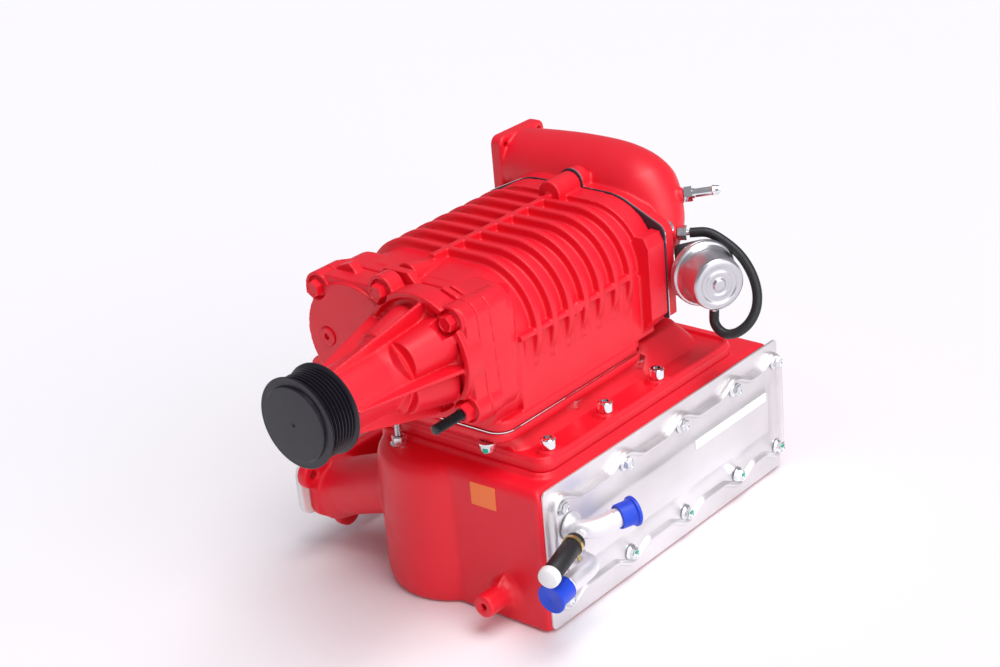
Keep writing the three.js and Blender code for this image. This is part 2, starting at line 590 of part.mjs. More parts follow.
// Timing gear; a half-pitch turn sets the driven gear in mesh.
function gear(x, turn, hub) {
  const teeth = 18;
  const s = new THREE.Shape();
  for (let k = 0; k < teeth; k += 1) {
    const a = (k + turn) * Math.PI * 2 / teeth;
    const pitch = Math.PI * 2 / teeth;
    const corners = [[C - 3.6, -0.2], [C + 2.4, -0.09], [C + 2.4, 0.09], [C - 3.6, 0.2]];
    corners.forEach(([r, t], i) => {
      const p = [x + r * Math.cos(a + t * pitch), AXLE_Z + r * Math.sin(a + t * pitch)];
      if (k === 0 && i === 0) s.moveTo(...p);
      else s.lineTo(...p);
    });
  }
  s.closePath();
  let body = slabY(s, -186.5, -178);
  if (hub) body = body.add(barY(14, -199.6, -186, x, AXLE_Z, 16));
  return cut(body, [barY(8.4, -188, -176, x, AXLE_Z, 16)]);
}

// Rotor section: cycloidal lobes and valleys on the pitch circle, set in by the running gap.
function rotorOutline(gap, turn) {
  const r = C / 8;
  const points = [];
  const per = 5;
  for (let arch = 0; arch < 8; arch += 1) {
    for (let i = 0; i < per; i += 1) {
      const t = (i / per) * Math.PI / 4;
      const sign = arch % 2 === 0 ? 1 : -1;
      const base = C + sign * r;
      const roll = (base / r) * t;
      const px = base * Math.cos(t) - sign * r * Math.cos(roll);
      const py = base * Math.sin(t) - r * Math.sin(roll);
      const a = arch * Math.PI / 4 - Math.PI / 8 + turn;
      points.push(new THREE.Vector2(px * Math.cos(a) - py * Math.sin(a),
        px * Math.sin(a) + py * Math.cos(a)));
    }
  }
  return points.map((p, i) => {
    const before = points[(i + points.length - 1) % points.length];
    const after = points[(i + 1) % points.length];
    const run = after.clone().sub(before).normalize();
    return new THREE.Vector2(p.x - run.y * gap, p.y + run.x * gap);
  });
}

function rotor(x, hand, turn) {
  const steps = 6;
  const twist = hand * 50 * Math.PI / 180;
  const y0 = -160.2;
  const y1 = 27.2;
  const g = new THREE.ExtrudeGeometry(new THREE.Shape(rotorOutline(0.6, turn)), {
    depth: y1 - y0, steps, bevelEnabled: false });
  const pos = g.attributes.position;
  for (let i = 0; i < pos.count; i += 1) {
    const a = twist * pos.getZ(i) / (y1 - y0);
    const px = pos.getX(i);
    const py = pos.getY(i);
    pos.setX(i, px * Math.cos(a) - py * Math.sin(a));
    pos.setY(i, px * Math.sin(a) + py * Math.cos(a));
  }
  const lobesBody = solid(g.rotateX(Math.PI / 2).translate(x, y1, AXLE_Z));
  return join([lobesBody, barY(8, -186, -159, x, AXLE_Z, 16), barY(7, 27, 48, x, AXLE_Z, 16)]);
}

// Hexagon-head bolt along an axis: origin on its seat, dir pointing out of the head.
function bolt(seat, dir, across, headHeight, flangeR, shankR, shankLength, phase = 0) {
  const p = { x: seat[0], y: seat[1], z: seat[2] };
  const parts = [
    rod(along(p, dir, 1.4), along(p, dir, headHeight), across / Math.sqrt(3),
      across / Math.sqrt(3), 6, phase),
    rod(along(p, dir, 0.05), along(p, dir, 1.8), flangeR, flangeR, 12),
    rod(along(p, dir, -shankLength), along(p, dir, 0.5), shankR, shankR, 8)];
  return join(parts);
}

const FRONT = new THREE.Vector3(0, -1, 0);

// Vacuum hose from the fitting on the elbow round to the nipple under the actuator.
const HOSE_ROUTE = [[100.3, 91.7, 258], [114, 100, 257.5], [129, 107.5, 252], [143, 108.5, 240],
  [155, 106.2, 226.3], [164.2, 102, 212], [167.6, 95, 199], [166, 85.5, 187], [158, 76, 179.5],
  [148.5, 71.2, 176.5], [139.5, 70.2, 180], [135.9, 72.5, 188], [135.9, 72.5, 199]];

function build() {
  add('front_cover', frontCover(), RED);
  add('bearing_plate', bearingPlate(), RED);
  add('rotor_housing', rotorHousing(), RED);
  add('rear_gasket', rearGasket(), GASKET);
  add('inlet_elbow', inletElbow(), RED);
  add('base_gasket', baseGasket(), GASKET);
  add('upper_plenum', upperPlenum(), RED);
  add('cooler_housing', coolerHousing(), RED);
  add('port_cover', slabX(roundedShape(-180, 165, 37, 88, 12), FLANGE_X - 7, FLANGE_X), WHITE);
  add('cooler_core', coolerCore(), BARE);
  add('header_plate', headerPlate(), BARE);
  add('cooler_cover', scallopedCover(), BARE);
  add('blank_label', box(141, 141.4, 33, 143, 82.8, 91), WHITE);
  add('coolant_outlet_pipe', coolantOutlet(), BARE);
  add('coolant_inlet_pipe', coolantInlet(), BARE);
  add('outlet_cap', pipeCap(OUTLET_ROUTE[5], new THREE.Vector3(0.37, 0.93, 0.055).normalize(), 15), BLUE);
  add('inlet_cap', pipeCap(INLET_ROUTE[5], new THREE.Vector3(0.013, -1, -0.065).normalize(), 19), BLUE);
  add('bleed_sleeve', sleeve(), BLACK);
  add('bleed_clamp', bleedClamp(), STEEL);
  add('bleed_plug', bleedPlug(), WHITE);
  add('oil_fill_plug', barY(7.1, -193.6, -187, -65.2, AXLE_Z - 6.6, 10), RED);

  const bendUp = new THREE.Vector3(0.8, 0.55, 0.1).normalize();
  const barb = { x: 85.4, y: 106.9, z: 285.3 };
  add('hose_barb', cut(join([
    rod(along(barb, bendUp, 0), along(barb, bendUp, 7), 6.4, 6.4, 6),
    rod(along(barb, bendUp, 6), along(barb, bendUp, 31), 4, 4, 10),
    rod(along(barb, bendUp, 25), along(barb, bendUp, 30), 5, 4.4, 10)]),
    [rod(along(barb, bendUp, 12), along(barb, bendUp, 33), 2.4, 2.4, 6)]), ZINC);
  const fitDir = new THREE.Vector3(0.874, 0.486, 0).normalize();
  const fit = { x: 91.4, y: 86.7, z: 258 };
  add('vacuum_fitting', join([
    rod(along(fit, fitDir, 0), along(fit, fitDir, 8), 6.6, 6.6, 6),
    rod(along(fit, fitDir, 7), along(fit, fitDir, 9.9), 2.3, 2.3, 12)]), ZINC);
  add('vacuum_hose', cut(tube(HOSE_ROUTE, 4.3, 24, 4), [barZ(3.4, 190, 205, 135.9, 72.5, 8)]), BLACK);
  add('actuator_can', actuatorCan(), ZINC);
  add('actuator_base', actuatorBase(), ZINC);
  add('actuator_bracket', actuatorBracket(), STEEL);
  add('actuator_diaphragm', actuatorDiaphragm(), BLACK);
  add('actuator_spring', actuatorSpring(), STEEL);
  add('actuator_rod', actuatorRod(), STEEL);
  add('bypass_lever', bypassLever(), STEEL);
  add('bypass_shaft', bypassShaft(), STEEL);
  add('bypass_plate', bypassPlate(), BARE);

  add('pulley', pulley(), BLACK);
  add('input_shaft', barY(8.5, -328, -205.3, C, AXLE_Z, 16), STEEL);
  add('shaft_seal', ring(hole(8.5, 0.4), 17.3, -296.4, -293, C), BLACK);
  add('snout_front_bearing', ring(hole(8.5), 17.3, -292.8, -285.4, C), STEEL);
  add('snout_rear_bearing', ring(hole(8.5), 17.3, -231.6, -220, C), STEEL);
  add('coupling', coupling(), BLACK);
  add('drive_gear', gear(C, 0.5, true), STEEL);
  add('driven_gear', gear(-C, 0, false), STEEL);
  add('drive_front_bearing', ring(hole(8), 20.3, -175, -163, C), STEEL);
  add('driven_front_bearing', ring(hole(8), 20.3, -175, -163, -C), STEEL);
  add('drive_rear_bearing', ring(hole(7), 16.3, 31, 47, C), STEEL);
  add('driven_rear_bearing', ring(hole(7), 16.3, 31, 47, -C), STEEL);
  add('drive_rotor', rotor(C, 1, 0), BARE);
  add('driven_rotor', rotor(-C, -1, Math.PI / 4), BARE);

  const names = ['cover_bolt_right', 'cover_bolt_left', 'cover_bolt_top'];
  COVER_BOLTS.forEach(([x, z], i) => {
    add(names[i], bolt([x, COVER_FRONT_Y, AXLE_Z + z], FRONT, 12.5, 9, 9, 3.6, 12, 0.3 * i), RED);
  });
  const studZ = AXLE_Z + COVER_STUD[1];
  add('cover_stud', barY(4.1, -232, -178, COVER_STUD[0], studZ, 12), BLACK);
  const nut = bolt([COVER_STUD[0], COVER_FRONT_Y, studZ], FRONT, 14, 11, 9.5, 5, 0, 0.4);
  add('cover_stud_nut', cut(nut, [barY(4.5, -205, -185, COVER_STUD[0], studZ, 12)]), RED);
  add('column_stud', join([barZ(3.5, 118, 151, -30, -159.5, 8), barZ(6.6, 131.05, 139, -30, -159.5, 6),
    barZ(7.9, 131.05, 132.6, -30, -159.5, 12)]), ZINC);
  ['front', 'middle', 'rear'].forEach((place, i) => {
    const [x, y] = LID_BOLTS[i];
    add(`lid_bolt_${place}`, join([barZ(6.6, 149.05, 158, x, y, 12), barZ(3.2, 134, 150, x, y, 6)]), ZINC);
  });
}

build();

export default group;
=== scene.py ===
"""Looks of the supercharger: cast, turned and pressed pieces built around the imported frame.

Shapes are drawn in millimetres in the row frame (+Y from the pulley to the inlet elbow, +Z up)
and scaled to metres when each piece is finished."""
import json
import math

import bmesh
import bpy
from mathutils import Matrix, Vector


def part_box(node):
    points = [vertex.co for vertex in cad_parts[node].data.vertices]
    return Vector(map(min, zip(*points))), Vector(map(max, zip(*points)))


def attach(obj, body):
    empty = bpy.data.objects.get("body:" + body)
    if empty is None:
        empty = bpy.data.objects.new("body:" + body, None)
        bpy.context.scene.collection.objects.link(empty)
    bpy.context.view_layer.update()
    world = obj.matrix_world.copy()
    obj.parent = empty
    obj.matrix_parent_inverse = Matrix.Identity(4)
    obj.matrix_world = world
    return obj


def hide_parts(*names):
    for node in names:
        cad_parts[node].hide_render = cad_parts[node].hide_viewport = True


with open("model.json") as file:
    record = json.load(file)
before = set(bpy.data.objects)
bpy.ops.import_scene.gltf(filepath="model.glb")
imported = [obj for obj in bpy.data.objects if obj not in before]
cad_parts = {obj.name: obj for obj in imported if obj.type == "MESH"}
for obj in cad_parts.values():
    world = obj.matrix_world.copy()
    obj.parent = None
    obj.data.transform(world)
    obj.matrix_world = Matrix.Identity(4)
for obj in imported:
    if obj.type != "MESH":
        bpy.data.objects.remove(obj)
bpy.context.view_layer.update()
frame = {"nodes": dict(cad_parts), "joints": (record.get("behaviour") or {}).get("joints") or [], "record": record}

MM = 0.001
HOUSING, DRIVE = "housing", "drive"


# ----- camera -----
def make_camera():
    """Camera that stands where the photograph was taken from."""
    data = bpy.data.cameras.new("camera")
    camera = bpy.data.objects.new("camera", data)
    bpy.context.scene.collection.objects.link(camera)
    right = Vector((0.76760, 0.63552, -0.08320))
    up = Vector((-0.20148, 0.36247, 0.90996))
    back = right.cross(up)
    turn = Matrix((right, up, back)).transposed().to_4x4()
    stand = (1.1163, -1.3042, 0.9430)
    camera.matrix_world = Matrix.Translation(stand) @ turn
    data.lens = 76.88
    data.sensor_width = 36
    data.clip_start = 0.05
    data.clip_end = 60
    bpy.context.scene.camera = camera


make_camera()


# ----- places read from the frame, in millimetres -----
def joint(name):
    return next(j for j in frame["joints"] if j["name"] == name)


def box_mm(node):
    low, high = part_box(node)
    return [v / MM for v in low], [v / MM for v in high]


AXLE_Z = joint("drive_spin")["pos_m"][2] / MM
AXLE_X = joint("drive_spin")["pos_m"][0] / MM
PULLEY_NOSE = 1.8
PULLEY_FRONT_Y = box_mm("pulley")[0][1] + PULLEY_NOSE
VALVE = Vector([v / MM for v in joint("bypass_turn")["pos_m"]])
ROD_DIR = Vector(joint("actuator_slide")["axis"]).normalized()
SHAFT_DIR = Vector(joint("bypass_turn")["axis"]).normalized()
# up, towards the pulley, and out to the cooler side
UP, FRONT, OUT = Vector((0, 0, 1)), Vector((0, -1, 0)), Vector((1, 0, 0))

# ----- sizes and places of the castings, in millimetres -----
COVER_FRONT_Y, COVER_BACK_Y, PLATE_BACK_Y = -190, -176, -161
SNOUT_ROOT_Y = -191
HOUSING_BACK_Y, ELBOW_FRONT_Y, ELBOW_FLANGE_Y = 57, 59, 71
WALL_R, RIB_R, RIB_PITCH, RIB_FIRST_Y, RIBS = 51, 55.6, 20.96, -108.7, 7
BLOWER_BASE_Z, PAD_Z, LID_Z = 169, 167.4, 131
BOX_FRONT_Y, BOX_BACK_Y, BOX_LEFT_X, BOX_RIGHT_X = -171, 166, -70, 129
RUNNER_Y = [-142, -52, 38, 128]
COLUMN_X, COLUMN_Y = -6, -125
SPOUT_X, SPOUT_Z, SPOUT_TIP_Y = 86, 29, -202
FLANGE_X, FLANGE_THICK = -138, 10
FLANGE_UPPER_BOLTS = [(-171, 79), (157, 79)]
FLANGE_LOWER_BOLT_Z = 25
DUCT_Y, DUCT_Z, THROTTLE_X = 105, 288, -104
THROTTLE_BOLT = 24
VALVE_BORE_R = 17.8
CAN_TOP = Vector((148, 65.5, 227.9))

# ----- places of the fasteners, in millimetres -----
# front cover: across and up from the middle between the rotor axes
COVER_BOLTS = [(72.2, 35.6), (-72.2, 35.6), (0, 46.9)]
COVER_STUD = (82, -39)
COVER_LOW_BOSS = (-78, -41.3)
BOSS_R = 13
STUD_TIP_Y, STUD_LENGTH = -232, 52
OIL_PLUG_X, OIL_PLUG_Z = -65.2, AXLE_Z - 6.6
# across and along, with the level of the seats
COLUMN_STUD = (-30, -159.5)
LID_BOLTS = [(108, -128), (108, -51), (108, 23)]
LID_SEAT_Z = 149.4
FOOT_SCREWS = [(70, -159), (81, -61), (81, 30), (-70, -159), (-81, -61), (-81, 30)]
FOOT_SEAT_Z = 159.3
# across and up on the elbow flange
ELBOW_SCREWS = [(0, AXLE_Z + 56), (88, 266), (-88, 266)]
# along and up on the cooler cover
PAN_BOLTS_Y = [-150.9, -62.9, 17.9, 98.8, 164.1]
PAN_BOLTS_Z = [112.9, 26.8]
PAN_SEAT_X = 134.7


# ----- closed primitive shapes -----
def to_mesh(bm):
    bmesh.ops.recalc_face_normals(bm, faces=bm.faces)
    mesh = bpy.data.meshes.new("shape")
    bm.to_mesh(mesh)
    bm.free()
    return mesh


def loft(rings, closed=False):
    """Solid through rings of equal count; the end rings are capped unless it closes on itself."""
    bm = bmesh.new()
    rows = [[bm.verts.new(p) for p in ring] for ring in rings]
    pairs = list(zip(rows, rows[1:]))
    if closed:
        pairs.append((rows[-1], rows[0]))
    for low, high in pairs:
        n = len(low)
        for i in range(n):
            bm.faces.new((low[i], low[(i + 1) % n], high[(i + 1) % n], high[i]))
    if not closed:
        bm.faces.new(rows[0])
        bm.faces.new(rows[-1])
    return to_mesh(bm)


def skin(points):
    """Convex skin round a set of points."""
    bm = bmesh.new()
    for p in points:
        bm.verts.new(p)
    made = bmesh.ops.convex_hull(bm, input=bm.verts)
    inner = made["geom_interior"] + made["geom_unused"]
    spare = {v for v in inner if isinstance(v, bmesh.types.BMVert)}
    bmesh.ops.delete(bm, geom=list(spare), context="VERTS")
    return to_mesh(bm)


def side_axes(direction):
    """A direction and two unit vectors square to it."""
    d = Vector(direction).normalized()
    helper = UP if abs(d.z) < 0.9 else OUT
    u = d.cross(helper).normalized()
    return d, u, d.cross(u).normalized()


def circle(center, direction, radius, count=64, phase=0.0):
    _, u, v = side_axes(direction)
    angles = [phase + 2 * math.pi * i / count for i in range(count)]
    return [Vector(center) + (u * math.cos(a) + v * math.sin(a)) * radius for a in angles]


def rod(a, b, ra, rb=None, count=64, phase=0.0):
    a, b = Vector(a), Vector(b)
    rb = ra if rb is None else rb
    return loft([circle(a, b - a, ra, count, phase), circle(b, b - a, rb, count, phase)])


def bar_x(r, x0, x1, y, z, count=64):
    return rod((x0, y, z), (x1, y, z), r, r, count)


def bar_y(r, y0, y1, x, z, count=64, r1=None):
    return rod((x, y0, z), (x, y1, z), r, r1, count)


def bar_z(r, z0, z1, x, y, count=64, r1=None):
    return rod((x, y, z0), (x, y, z1), r, r1, count)


def eased(profile, ease, steps=3):
    """Profile with each inner corner rounded over a length of ease."""
    points = [Vector(p).to_2d() for p in profile]
    made = [points[0]]
    for before, here, after in zip(points, points[1:], points[2:]):
        a = here + (before - here).normalized() * min(ease, (before - here).length * 0.45)
        b = here + (after - here).normalized() * min(ease, (after - here).length * 0.45)
        for i in range(steps + 1):
            t = i / steps
            made.append(a * (1 - t) ** 2 + here * 2 * t * (1 - t) + b * t * t)
    made.append(points[-1])
    return made


def turned(profile, start, direction, count=72, ease=0.0):
    """Turned solid: profile is (radius, distance) from the axis and back to it."""
    d, u, v = side_axes(direction)
    points = eased(profile, ease) if ease else [Vector(p) for p in profile]
    bm = bmesh.new()
    rows = []
    for r, t in points:
        here = Vector(start) + d * t
        if r < 1e-6:
            rows.append([bm.verts.new(here)])
            continue
        angles = [2 * math.pi * i / count for i in range(count)]
        rows.append([bm.verts.new(here + (u * math.cos(a) + v * math.sin(a)) * r) for a in angles])
    for low, high in zip(rows, rows[1:]):
        for i in range(count):
            k = (i + 1) % count
            ring = [low[i % len(low)], low[k % len(low)], high[k % len(high)], high[i % len(high)]]
            corners = list(dict.fromkeys(ring))
            if len(corners) > 2:
                bm.faces.new(corners)
    return to_mesh(bm)


def rounded(a0, a1, b0, b1, r, steps=8):
    """Outline of a rectangle with round corners."""
    r = max(r, 0.01)
    made = []
    centers = ((a1 - r, b1 - r), (a0 + r, b1 - r), (a0 + r, b0 + r), (a1 - r, b0 + r))
    for start, (ca, cb) in enumerate(centers):
        for i in range(steps + 1):
            t = (start + i / steps) * math.pi / 2
            made.append((ca + r * math.cos(t), cb + r * math.sin(t)))
    return made


def place(outline, axis, level):
    """An outline laid at a level of one row axis."""
    if axis == "x":
        return [Vector((level, a, b)) for a, b in outline]
    if axis == "y":
        return [Vector((a, level, b)) for a, b in outline]
    return [Vector((a, b, level)) for a, b in outline]


def slab(outline, axis, low, high):
    return loft([place(outline, axis, low), place(outline, axis, high)])


def pillow(a0, a1, b0, b1, r, axis, low, high, ease_low=0.0, ease_high=0.0):
    """Block with rounded upright corners and rounded edges at its low and high faces."""
    steps = 5

    def ring(inset, level):
        outline = rounded(a0 + inset, a1 - inset, b0 + inset, b1 - inset, r - inset)
        return place(outline, axis, level)

    rings = []
    for i in range(steps + 1 if ease_low else 1):
        t = i / steps * math.pi / 2 if ease_low else 0
        rings.append(ring(ease_low * (1 - math.sin(t)), low + ease_low * (1 - math.cos(t))))
    for i in range(steps + 1 if ease_high else 1):
        t = i / steps * math.pi / 2 if ease_high else 0
        rings.append(ring(ease_high * (1 - math.cos(t)), high - ease_high * (1 - math.sin(t))))
    return loft(rings)


def block(x0, x1, y0, y1, z0, z1):
    return slab([(x0, y0), (x1, y0), (x1, y1), (x0, y1)], "z", z0, z1)


def lobes(r, steps=40):
    """Outline of the two bores side by side, joined by flats."""
    made = []
    for side, start in ((AXLE_X, -math.pi / 2), (-AXLE_X, math.pi / 2)):
        for i in range(steps + 1):
            t = start + math.pi * i / steps
            made.append((side + r * math.cos(t), AXLE_Z + r * math.sin(t)))
    return made


def spline(route, steps):
    """Points on a smooth curve through a route."""
    points = [Vector(p) for p in route]
    ends = [points[0] * 2 - points[1]] + points + [points[-1] * 2 - points[-2]]
    made = []
    for p0, p1, p2, p3 in zip(ends, ends[1:], ends[2:], ends[3:]):
        for i in range(steps):
            t = i / steps
            made.append(0.5 * (p1 * 2 + (p2 - p0) * t + (p0 * 2 - p1 * 5 + p2 * 4 - p3) * t * t
                               + (p1 * 3 - p0 - p2 * 3 + p3) * t ** 3))
    return made + [points[-1]]


def tube(route, radius, steps=6, count=32):
    """Round bar along a route, turned without twist; radius may be a function of 0 to 1."""
    path = spline(route, steps)
    _, u, _ = side_axes(path[1] - path[0])
    rings = []
    for i, here in enumerate(path):
        run = (path[min(i + 1, len(path) - 1)] - path[max(i - 1, 0)]).normalized()
        u = (u - run * u.dot(run)).normalized()
        v = run.cross(u)
        r = radius(i / (len(path) - 1)) if callable(radius) else radius
        rings.append([here + (u * math.cos(a) + v * math.sin(a)) * r
                      for a in (2 * math.pi * k / count for k in range(count))])
    return loft(rings)


# ----- joining, softening and finishing -----
def apply_all(obj):
    graph = bpy.context.evaluated_depsgraph_get()
    graph.update()
    return bpy.data.meshes.new_from_object(obj.evaluated_get(graph))


def temp_object(mesh):
    obj = bpy.data.objects.new("temp", mesh)
    bpy.context.scene.collection.objects.link(obj)
    return obj


def combine(adds, cuts=()):
    """One solid from closed shapes: all of adds joined, then cuts taken out."""
    base = temp_object(adds[0])
    spare = []
    for operation, shapes in (("UNION", adds[1:]), ("DIFFERENCE", cuts)):
        for mesh in shapes:
            tool = temp_object(mesh)
            spare.append(tool)
            mod = base.modifiers.new("join", "BOOLEAN")
            mod.solver = "MANIFOLD"
            mod.operation = operation
            mod.object = tool
    made = apply_all(base)
    for obj in [base, *spare]:
        bpy.data.objects.remove(obj)
    return made


def cast(adds, cuts=(), *, voxel, rounds, keep):
    """Joined shapes remeshed and smoothed, so that every corner gets a cast fillet."""
    obj = temp_object(combine(list(adds), list(cuts)))
    mesh = obj.modifiers.new("remesh", "REMESH")
    mesh.mode = "VOXEL"
    mesh.voxel_size = voxel
    mesh.adaptivity = 0
    soft = obj.modifiers.new("smooth", "SMOOTH")
    soft.factor = 0.5
    soft.iterations = rounds
    thin = obj.modifiers.new("thin", "DECIMATE")
    thin.ratio = keep
    made = apply_all(obj)
    bpy.data.objects.remove(obj)
    return made


def piece(name, mesh, material, replaces=(), sharp=None, body=HOUSING):
    """Finishes a mesh drawn in millimetres as one piece on a body."""
    mesh.transform(Matrix.Scale(MM, 4))
    mesh.shade_smooth()
    if sharp is not None:
        mesh.set_sharp_from_angle(angle=math.radians(sharp))
    mesh.materials.clear()
    mesh.materials.append(material)
    mesh.name = name
    obj = bpy.data.objects.new(name, mesh)
    bpy.context.scene.collection.objects.link(obj)
    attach(obj, body)
    if replaces:
        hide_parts(*replaces)


# ----- materials -----
def new_material(name, color, roughness, metallic=0.0):
    material = bpy.data.materials.new(name)
    material.use_nodes = True
    shader = material.node_tree.nodes["Principled BSDF"]
    shader.inputs["Base Color"].default_value = (*color, 1)
    shader.inputs["Roughness"].default_value = roughness
    shader.inputs["Metallic"].default_value = metallic
    return material


def noise(material, scale, detail=3.0, stretch=None):
    """Noise over the object's own coordinates, in the row frame."""
    nodes, links = material.node_tree.nodes, material.node_tree.links
    where = nodes.new("ShaderNodeTexCoord").outputs["Object"]
    texture = nodes.new("ShaderNodeTexNoise")
    texture.inputs["Scale"].default_value = scale
    texture.inputs["Detail"].default_value = detail
    if stretch:
        mapping = nodes.new("ShaderNodeMapping")
        mapping.inputs["Scale"].default_value = stretch
        links.new(where, mapping.inputs["Vector"])
        where = mapping.outputs["Vector"]
    links.new(where, texture.inputs["Vector"])
    return texture.outputs["Fac"]


def vary_color(material, source, dark, light, low=0.3, high=0.7):
    nodes, links = material.node_tree.nodes, material.node_tree.links
    ramp = nodes.new("ShaderNodeValToRGB")
    ramp.color_ramp.elements[0].position = low
    ramp.color_ramp.elements[0].color = (*dark, 1)
    ramp.color_ramp.elements[1].position = high
    ramp.color_ramp.elements[1].color = (*light, 1)
    links.new(source, ramp.inputs["Fac"])
    links.new(ramp.outputs["Color"], nodes["Principled BSDF"].inputs["Base Color"])


def vary_roughness(material, source, low, high):
    nodes, links = material.node_tree.nodes, material.node_tree.links
    span = nodes.new("ShaderNodeMapRange")
    span.inputs["From Min"].default_value = 0.3
    span.inputs["From Max"].default_value = 0.7
    span.inputs["To Min"].default_value = low
    span.inputs["To Max"].default_value = high
    links.new(source, span.inputs["Value"])
    links.new(span.outputs["Result"], nodes["Principled BSDF"].inputs["Roughness"])


def add_bump(material, source, strength, depth):
    nodes, links = material.node_tree.nodes, material.node_tree.links
    bump = nodes.new("ShaderNodeBump")
    bump.inputs["Strength"].default_value = strength
    bump.inputs["Distance"].default_value = depth
    links.new(source, bump.inputs["Height"])
    links.new(bump.outputs["Normal"], nodes["Principled BSDF"].inputs["Normal"])


def red_paint():
    """Satin paint over a fine cast skin."""
    m = new_material("satin_red_paint", (0.82, 0.006, 0.022), 0.42)
    vary_color(m, noise(m, 9, 2), (0.78, 0.005, 0.020), (0.85, 0.007, 0.026))
    vary_roughness(m, noise(m, 60, 3), 0.38, 0.48)
    add_bump(m, noise(m, 900, 4), 0.22, 0.0004)
    return m


def black_paint():
    m = new_material("satin_black_paint", (0.011, 0.009, 0.015), 0.3)
    vary_roughness(m, noise(m, 120, 3), 0.26, 0.36)
    add_bump(m, noise(m, 1500, 3), 0.1, 0.0002)
    return m


def turned_black():
    m = new_material("turned_black", (0.014, 0.014, 0.017), 0.3)
    vary_roughness(m, noise(m, 400, 2, (1, 8, 1)), 0.24, 0.36)
    return m


def sheet_aluminium():
    """Dull sheet with faint smudges and rolling marks."""
    m = new_material("sheet_aluminium", (0.8, 0.765, 0.78), 0.4, metallic=0.82)
    vary_color(m, noise(m, 14, 5, (1, 0.5, 1)), (0.71, 0.67, 0.685), (0.87, 0.84, 0.855))
    vary_roughness(m, noise(m, 22, 5), 0.34, 0.48)
    add_bump(m, noise(m, 700, 2, (1, 0.08, 1)), 0.06, 0.0002)
    return m


def pipe_aluminium():
    m = new_material("pipe_aluminium", (0.86, 0.84, 0.88), 0.42, metallic=0.7)
    vary_roughness(m, noise(m, 50, 4), 0.36, 0.5)
    return m


def zinc():
    m = new_material("zinc_plate", (0.78, 0.8, 0.82), 0.24, metallic=1)
    vary_color(m, noise(m, 160, 3), (0.70, 0.73, 0.75), (0.86, 0.87, 0.88))
    vary_roughness(m, noise(m, 300, 3), 0.18, 0.32)
    return m


def chrome():
    m = new_material("bright_chrome", (0.86, 0.87, 0.89), 0.09, metallic=1)
    vary_roughness(m, noise(m, 220, 2), 0.06, 0.13)
    return m


def spun_steel():
    m = new_material("bright_pressed_steel", (0.62, 0.61, 0.64), 0.3, metallic=1)
    vary_roughness(m, noise(m, 30, 3), 0.25, 0.34)
    return m


def dark_steel():
    m = new_material("dark_steel", (0.06, 0.06, 0.065), 0.42, metallic=0.6)
    vary_roughness(m, noise(m, 200, 3), 0.36, 0.5)
    return m


def machined_steel():
    m = new_material("machined_steel", (0.55, 0.56, 0.58), 0.3, metallic=1)
    vary_roughness(m, noise(m, 260, 3), 0.24, 0.38)
    return m


def gold_clamp():
    m = new_material("passivated_clamp", (0.72, 0.52, 0.22), 0.28, metallic=1)
    vary_roughness(m, noise(m, 300, 2), 0.22, 0.36)
    return m


def rubber():
    m = new_material("black_rubber", (0.012, 0.012, 0.014), 0.45)
    vary_roughness(m, noise(m, 300, 3), 0.38, 0.55)
    add_bump(m, noise(m, 1800, 2), 0.12, 0.0002)
    return m


def gasket_sheet():
    m = new_material("gasket_sheet", (0.035, 0.024, 0.04), 0.55)
    vary_color(m, noise(m, 300, 3), (0.028, 0.02, 0.032), (0.05, 0.036, 0.055))
    return m


def plastic(name, color, rough=0.45):
    m = new_material(name, color, rough)
    vary_roughness(m, noise(m, 180, 2), rough - 0.05, rough + 0.07)
    add_bump(m, noise(m, 1200, 2), 0.05, 0.0002)
    return m


RED = red_paint()
BLACK = black_paint()
TURNED_BLACK = turned_black()
SHEET = sheet_aluminium()
PIPE = pipe_aluminium()
ZINC = zinc()
CHROME = chrome()
SPUN = spun_steel()
DARK = dark_steel()
STEEL = machined_steel()
GOLD = gold_clamp()
RUBBER = rubber()
GASKET = gasket_sheet()
BLUE = plastic("blue_cap", (0.006, 0.06, 0.68))
WHITE = plastic("white_plastic", (0.86, 0.86, 0.86))
LABEL = plastic("white_label", (0.9, 0.9, 0.9), 0.6)
ORANGE = plastic("orange_sticker", (1.0, 0.22, 0.05), 0.5)
GREEN = plastic("green_paint_mark", (0.0, 0.42, 0.26), 0.4)


# ----- blower castings -----
def webs():
    """Knife-like webs from the snout to the cover."""
    made = []
    for degrees, reach in ((80, 48.5), (-3, 48.5), (152, 53), (-70, 50)):
        t = math.radians(degrees)
        along = Vector((math.cos(t), 0, math.sin(t)))
        across = Vector((-math.sin(t), 0, math.cos(t)))

        def at(r, side, y):
            return Vector((AXLE_X, y, AXLE_Z)) + along * r + across * side

        points = []
        for side in (-1, 1):
            points += [at(10, side * 3, SNOUT_ROOT_Y), at(reach, side * 1.8, SNOUT_ROOT_Y)]
            points += [at(reach, side * 1.6, SNOUT_ROOT_Y - 6)]
            points += [at(28.5, side * 0.9, -294), at(10, side * 3, -294)]
        made.append(skin(points))
    return made


def right_side(y0, y1):
    """Straight flank from the upper bolt boss down to the stud boss."""
    points = []
    (bolt_x, bolt_z), (stud_x, stud_z) = COVER_BOLTS[0], COVER_STUD
    for y in (y0, y1):
        points += circle((bolt_x + 2.5, y, AXLE_Z + bolt_z), FRONT, 12.6, 40)
        points += circle((stud_x - 2.5, y, AXLE_Z + stud_z), FRONT, 12.6, 40)
        points += circle((AXLE_X, y, AXLE_Z - 8), FRONT, 40, 40)
    return skin(points)


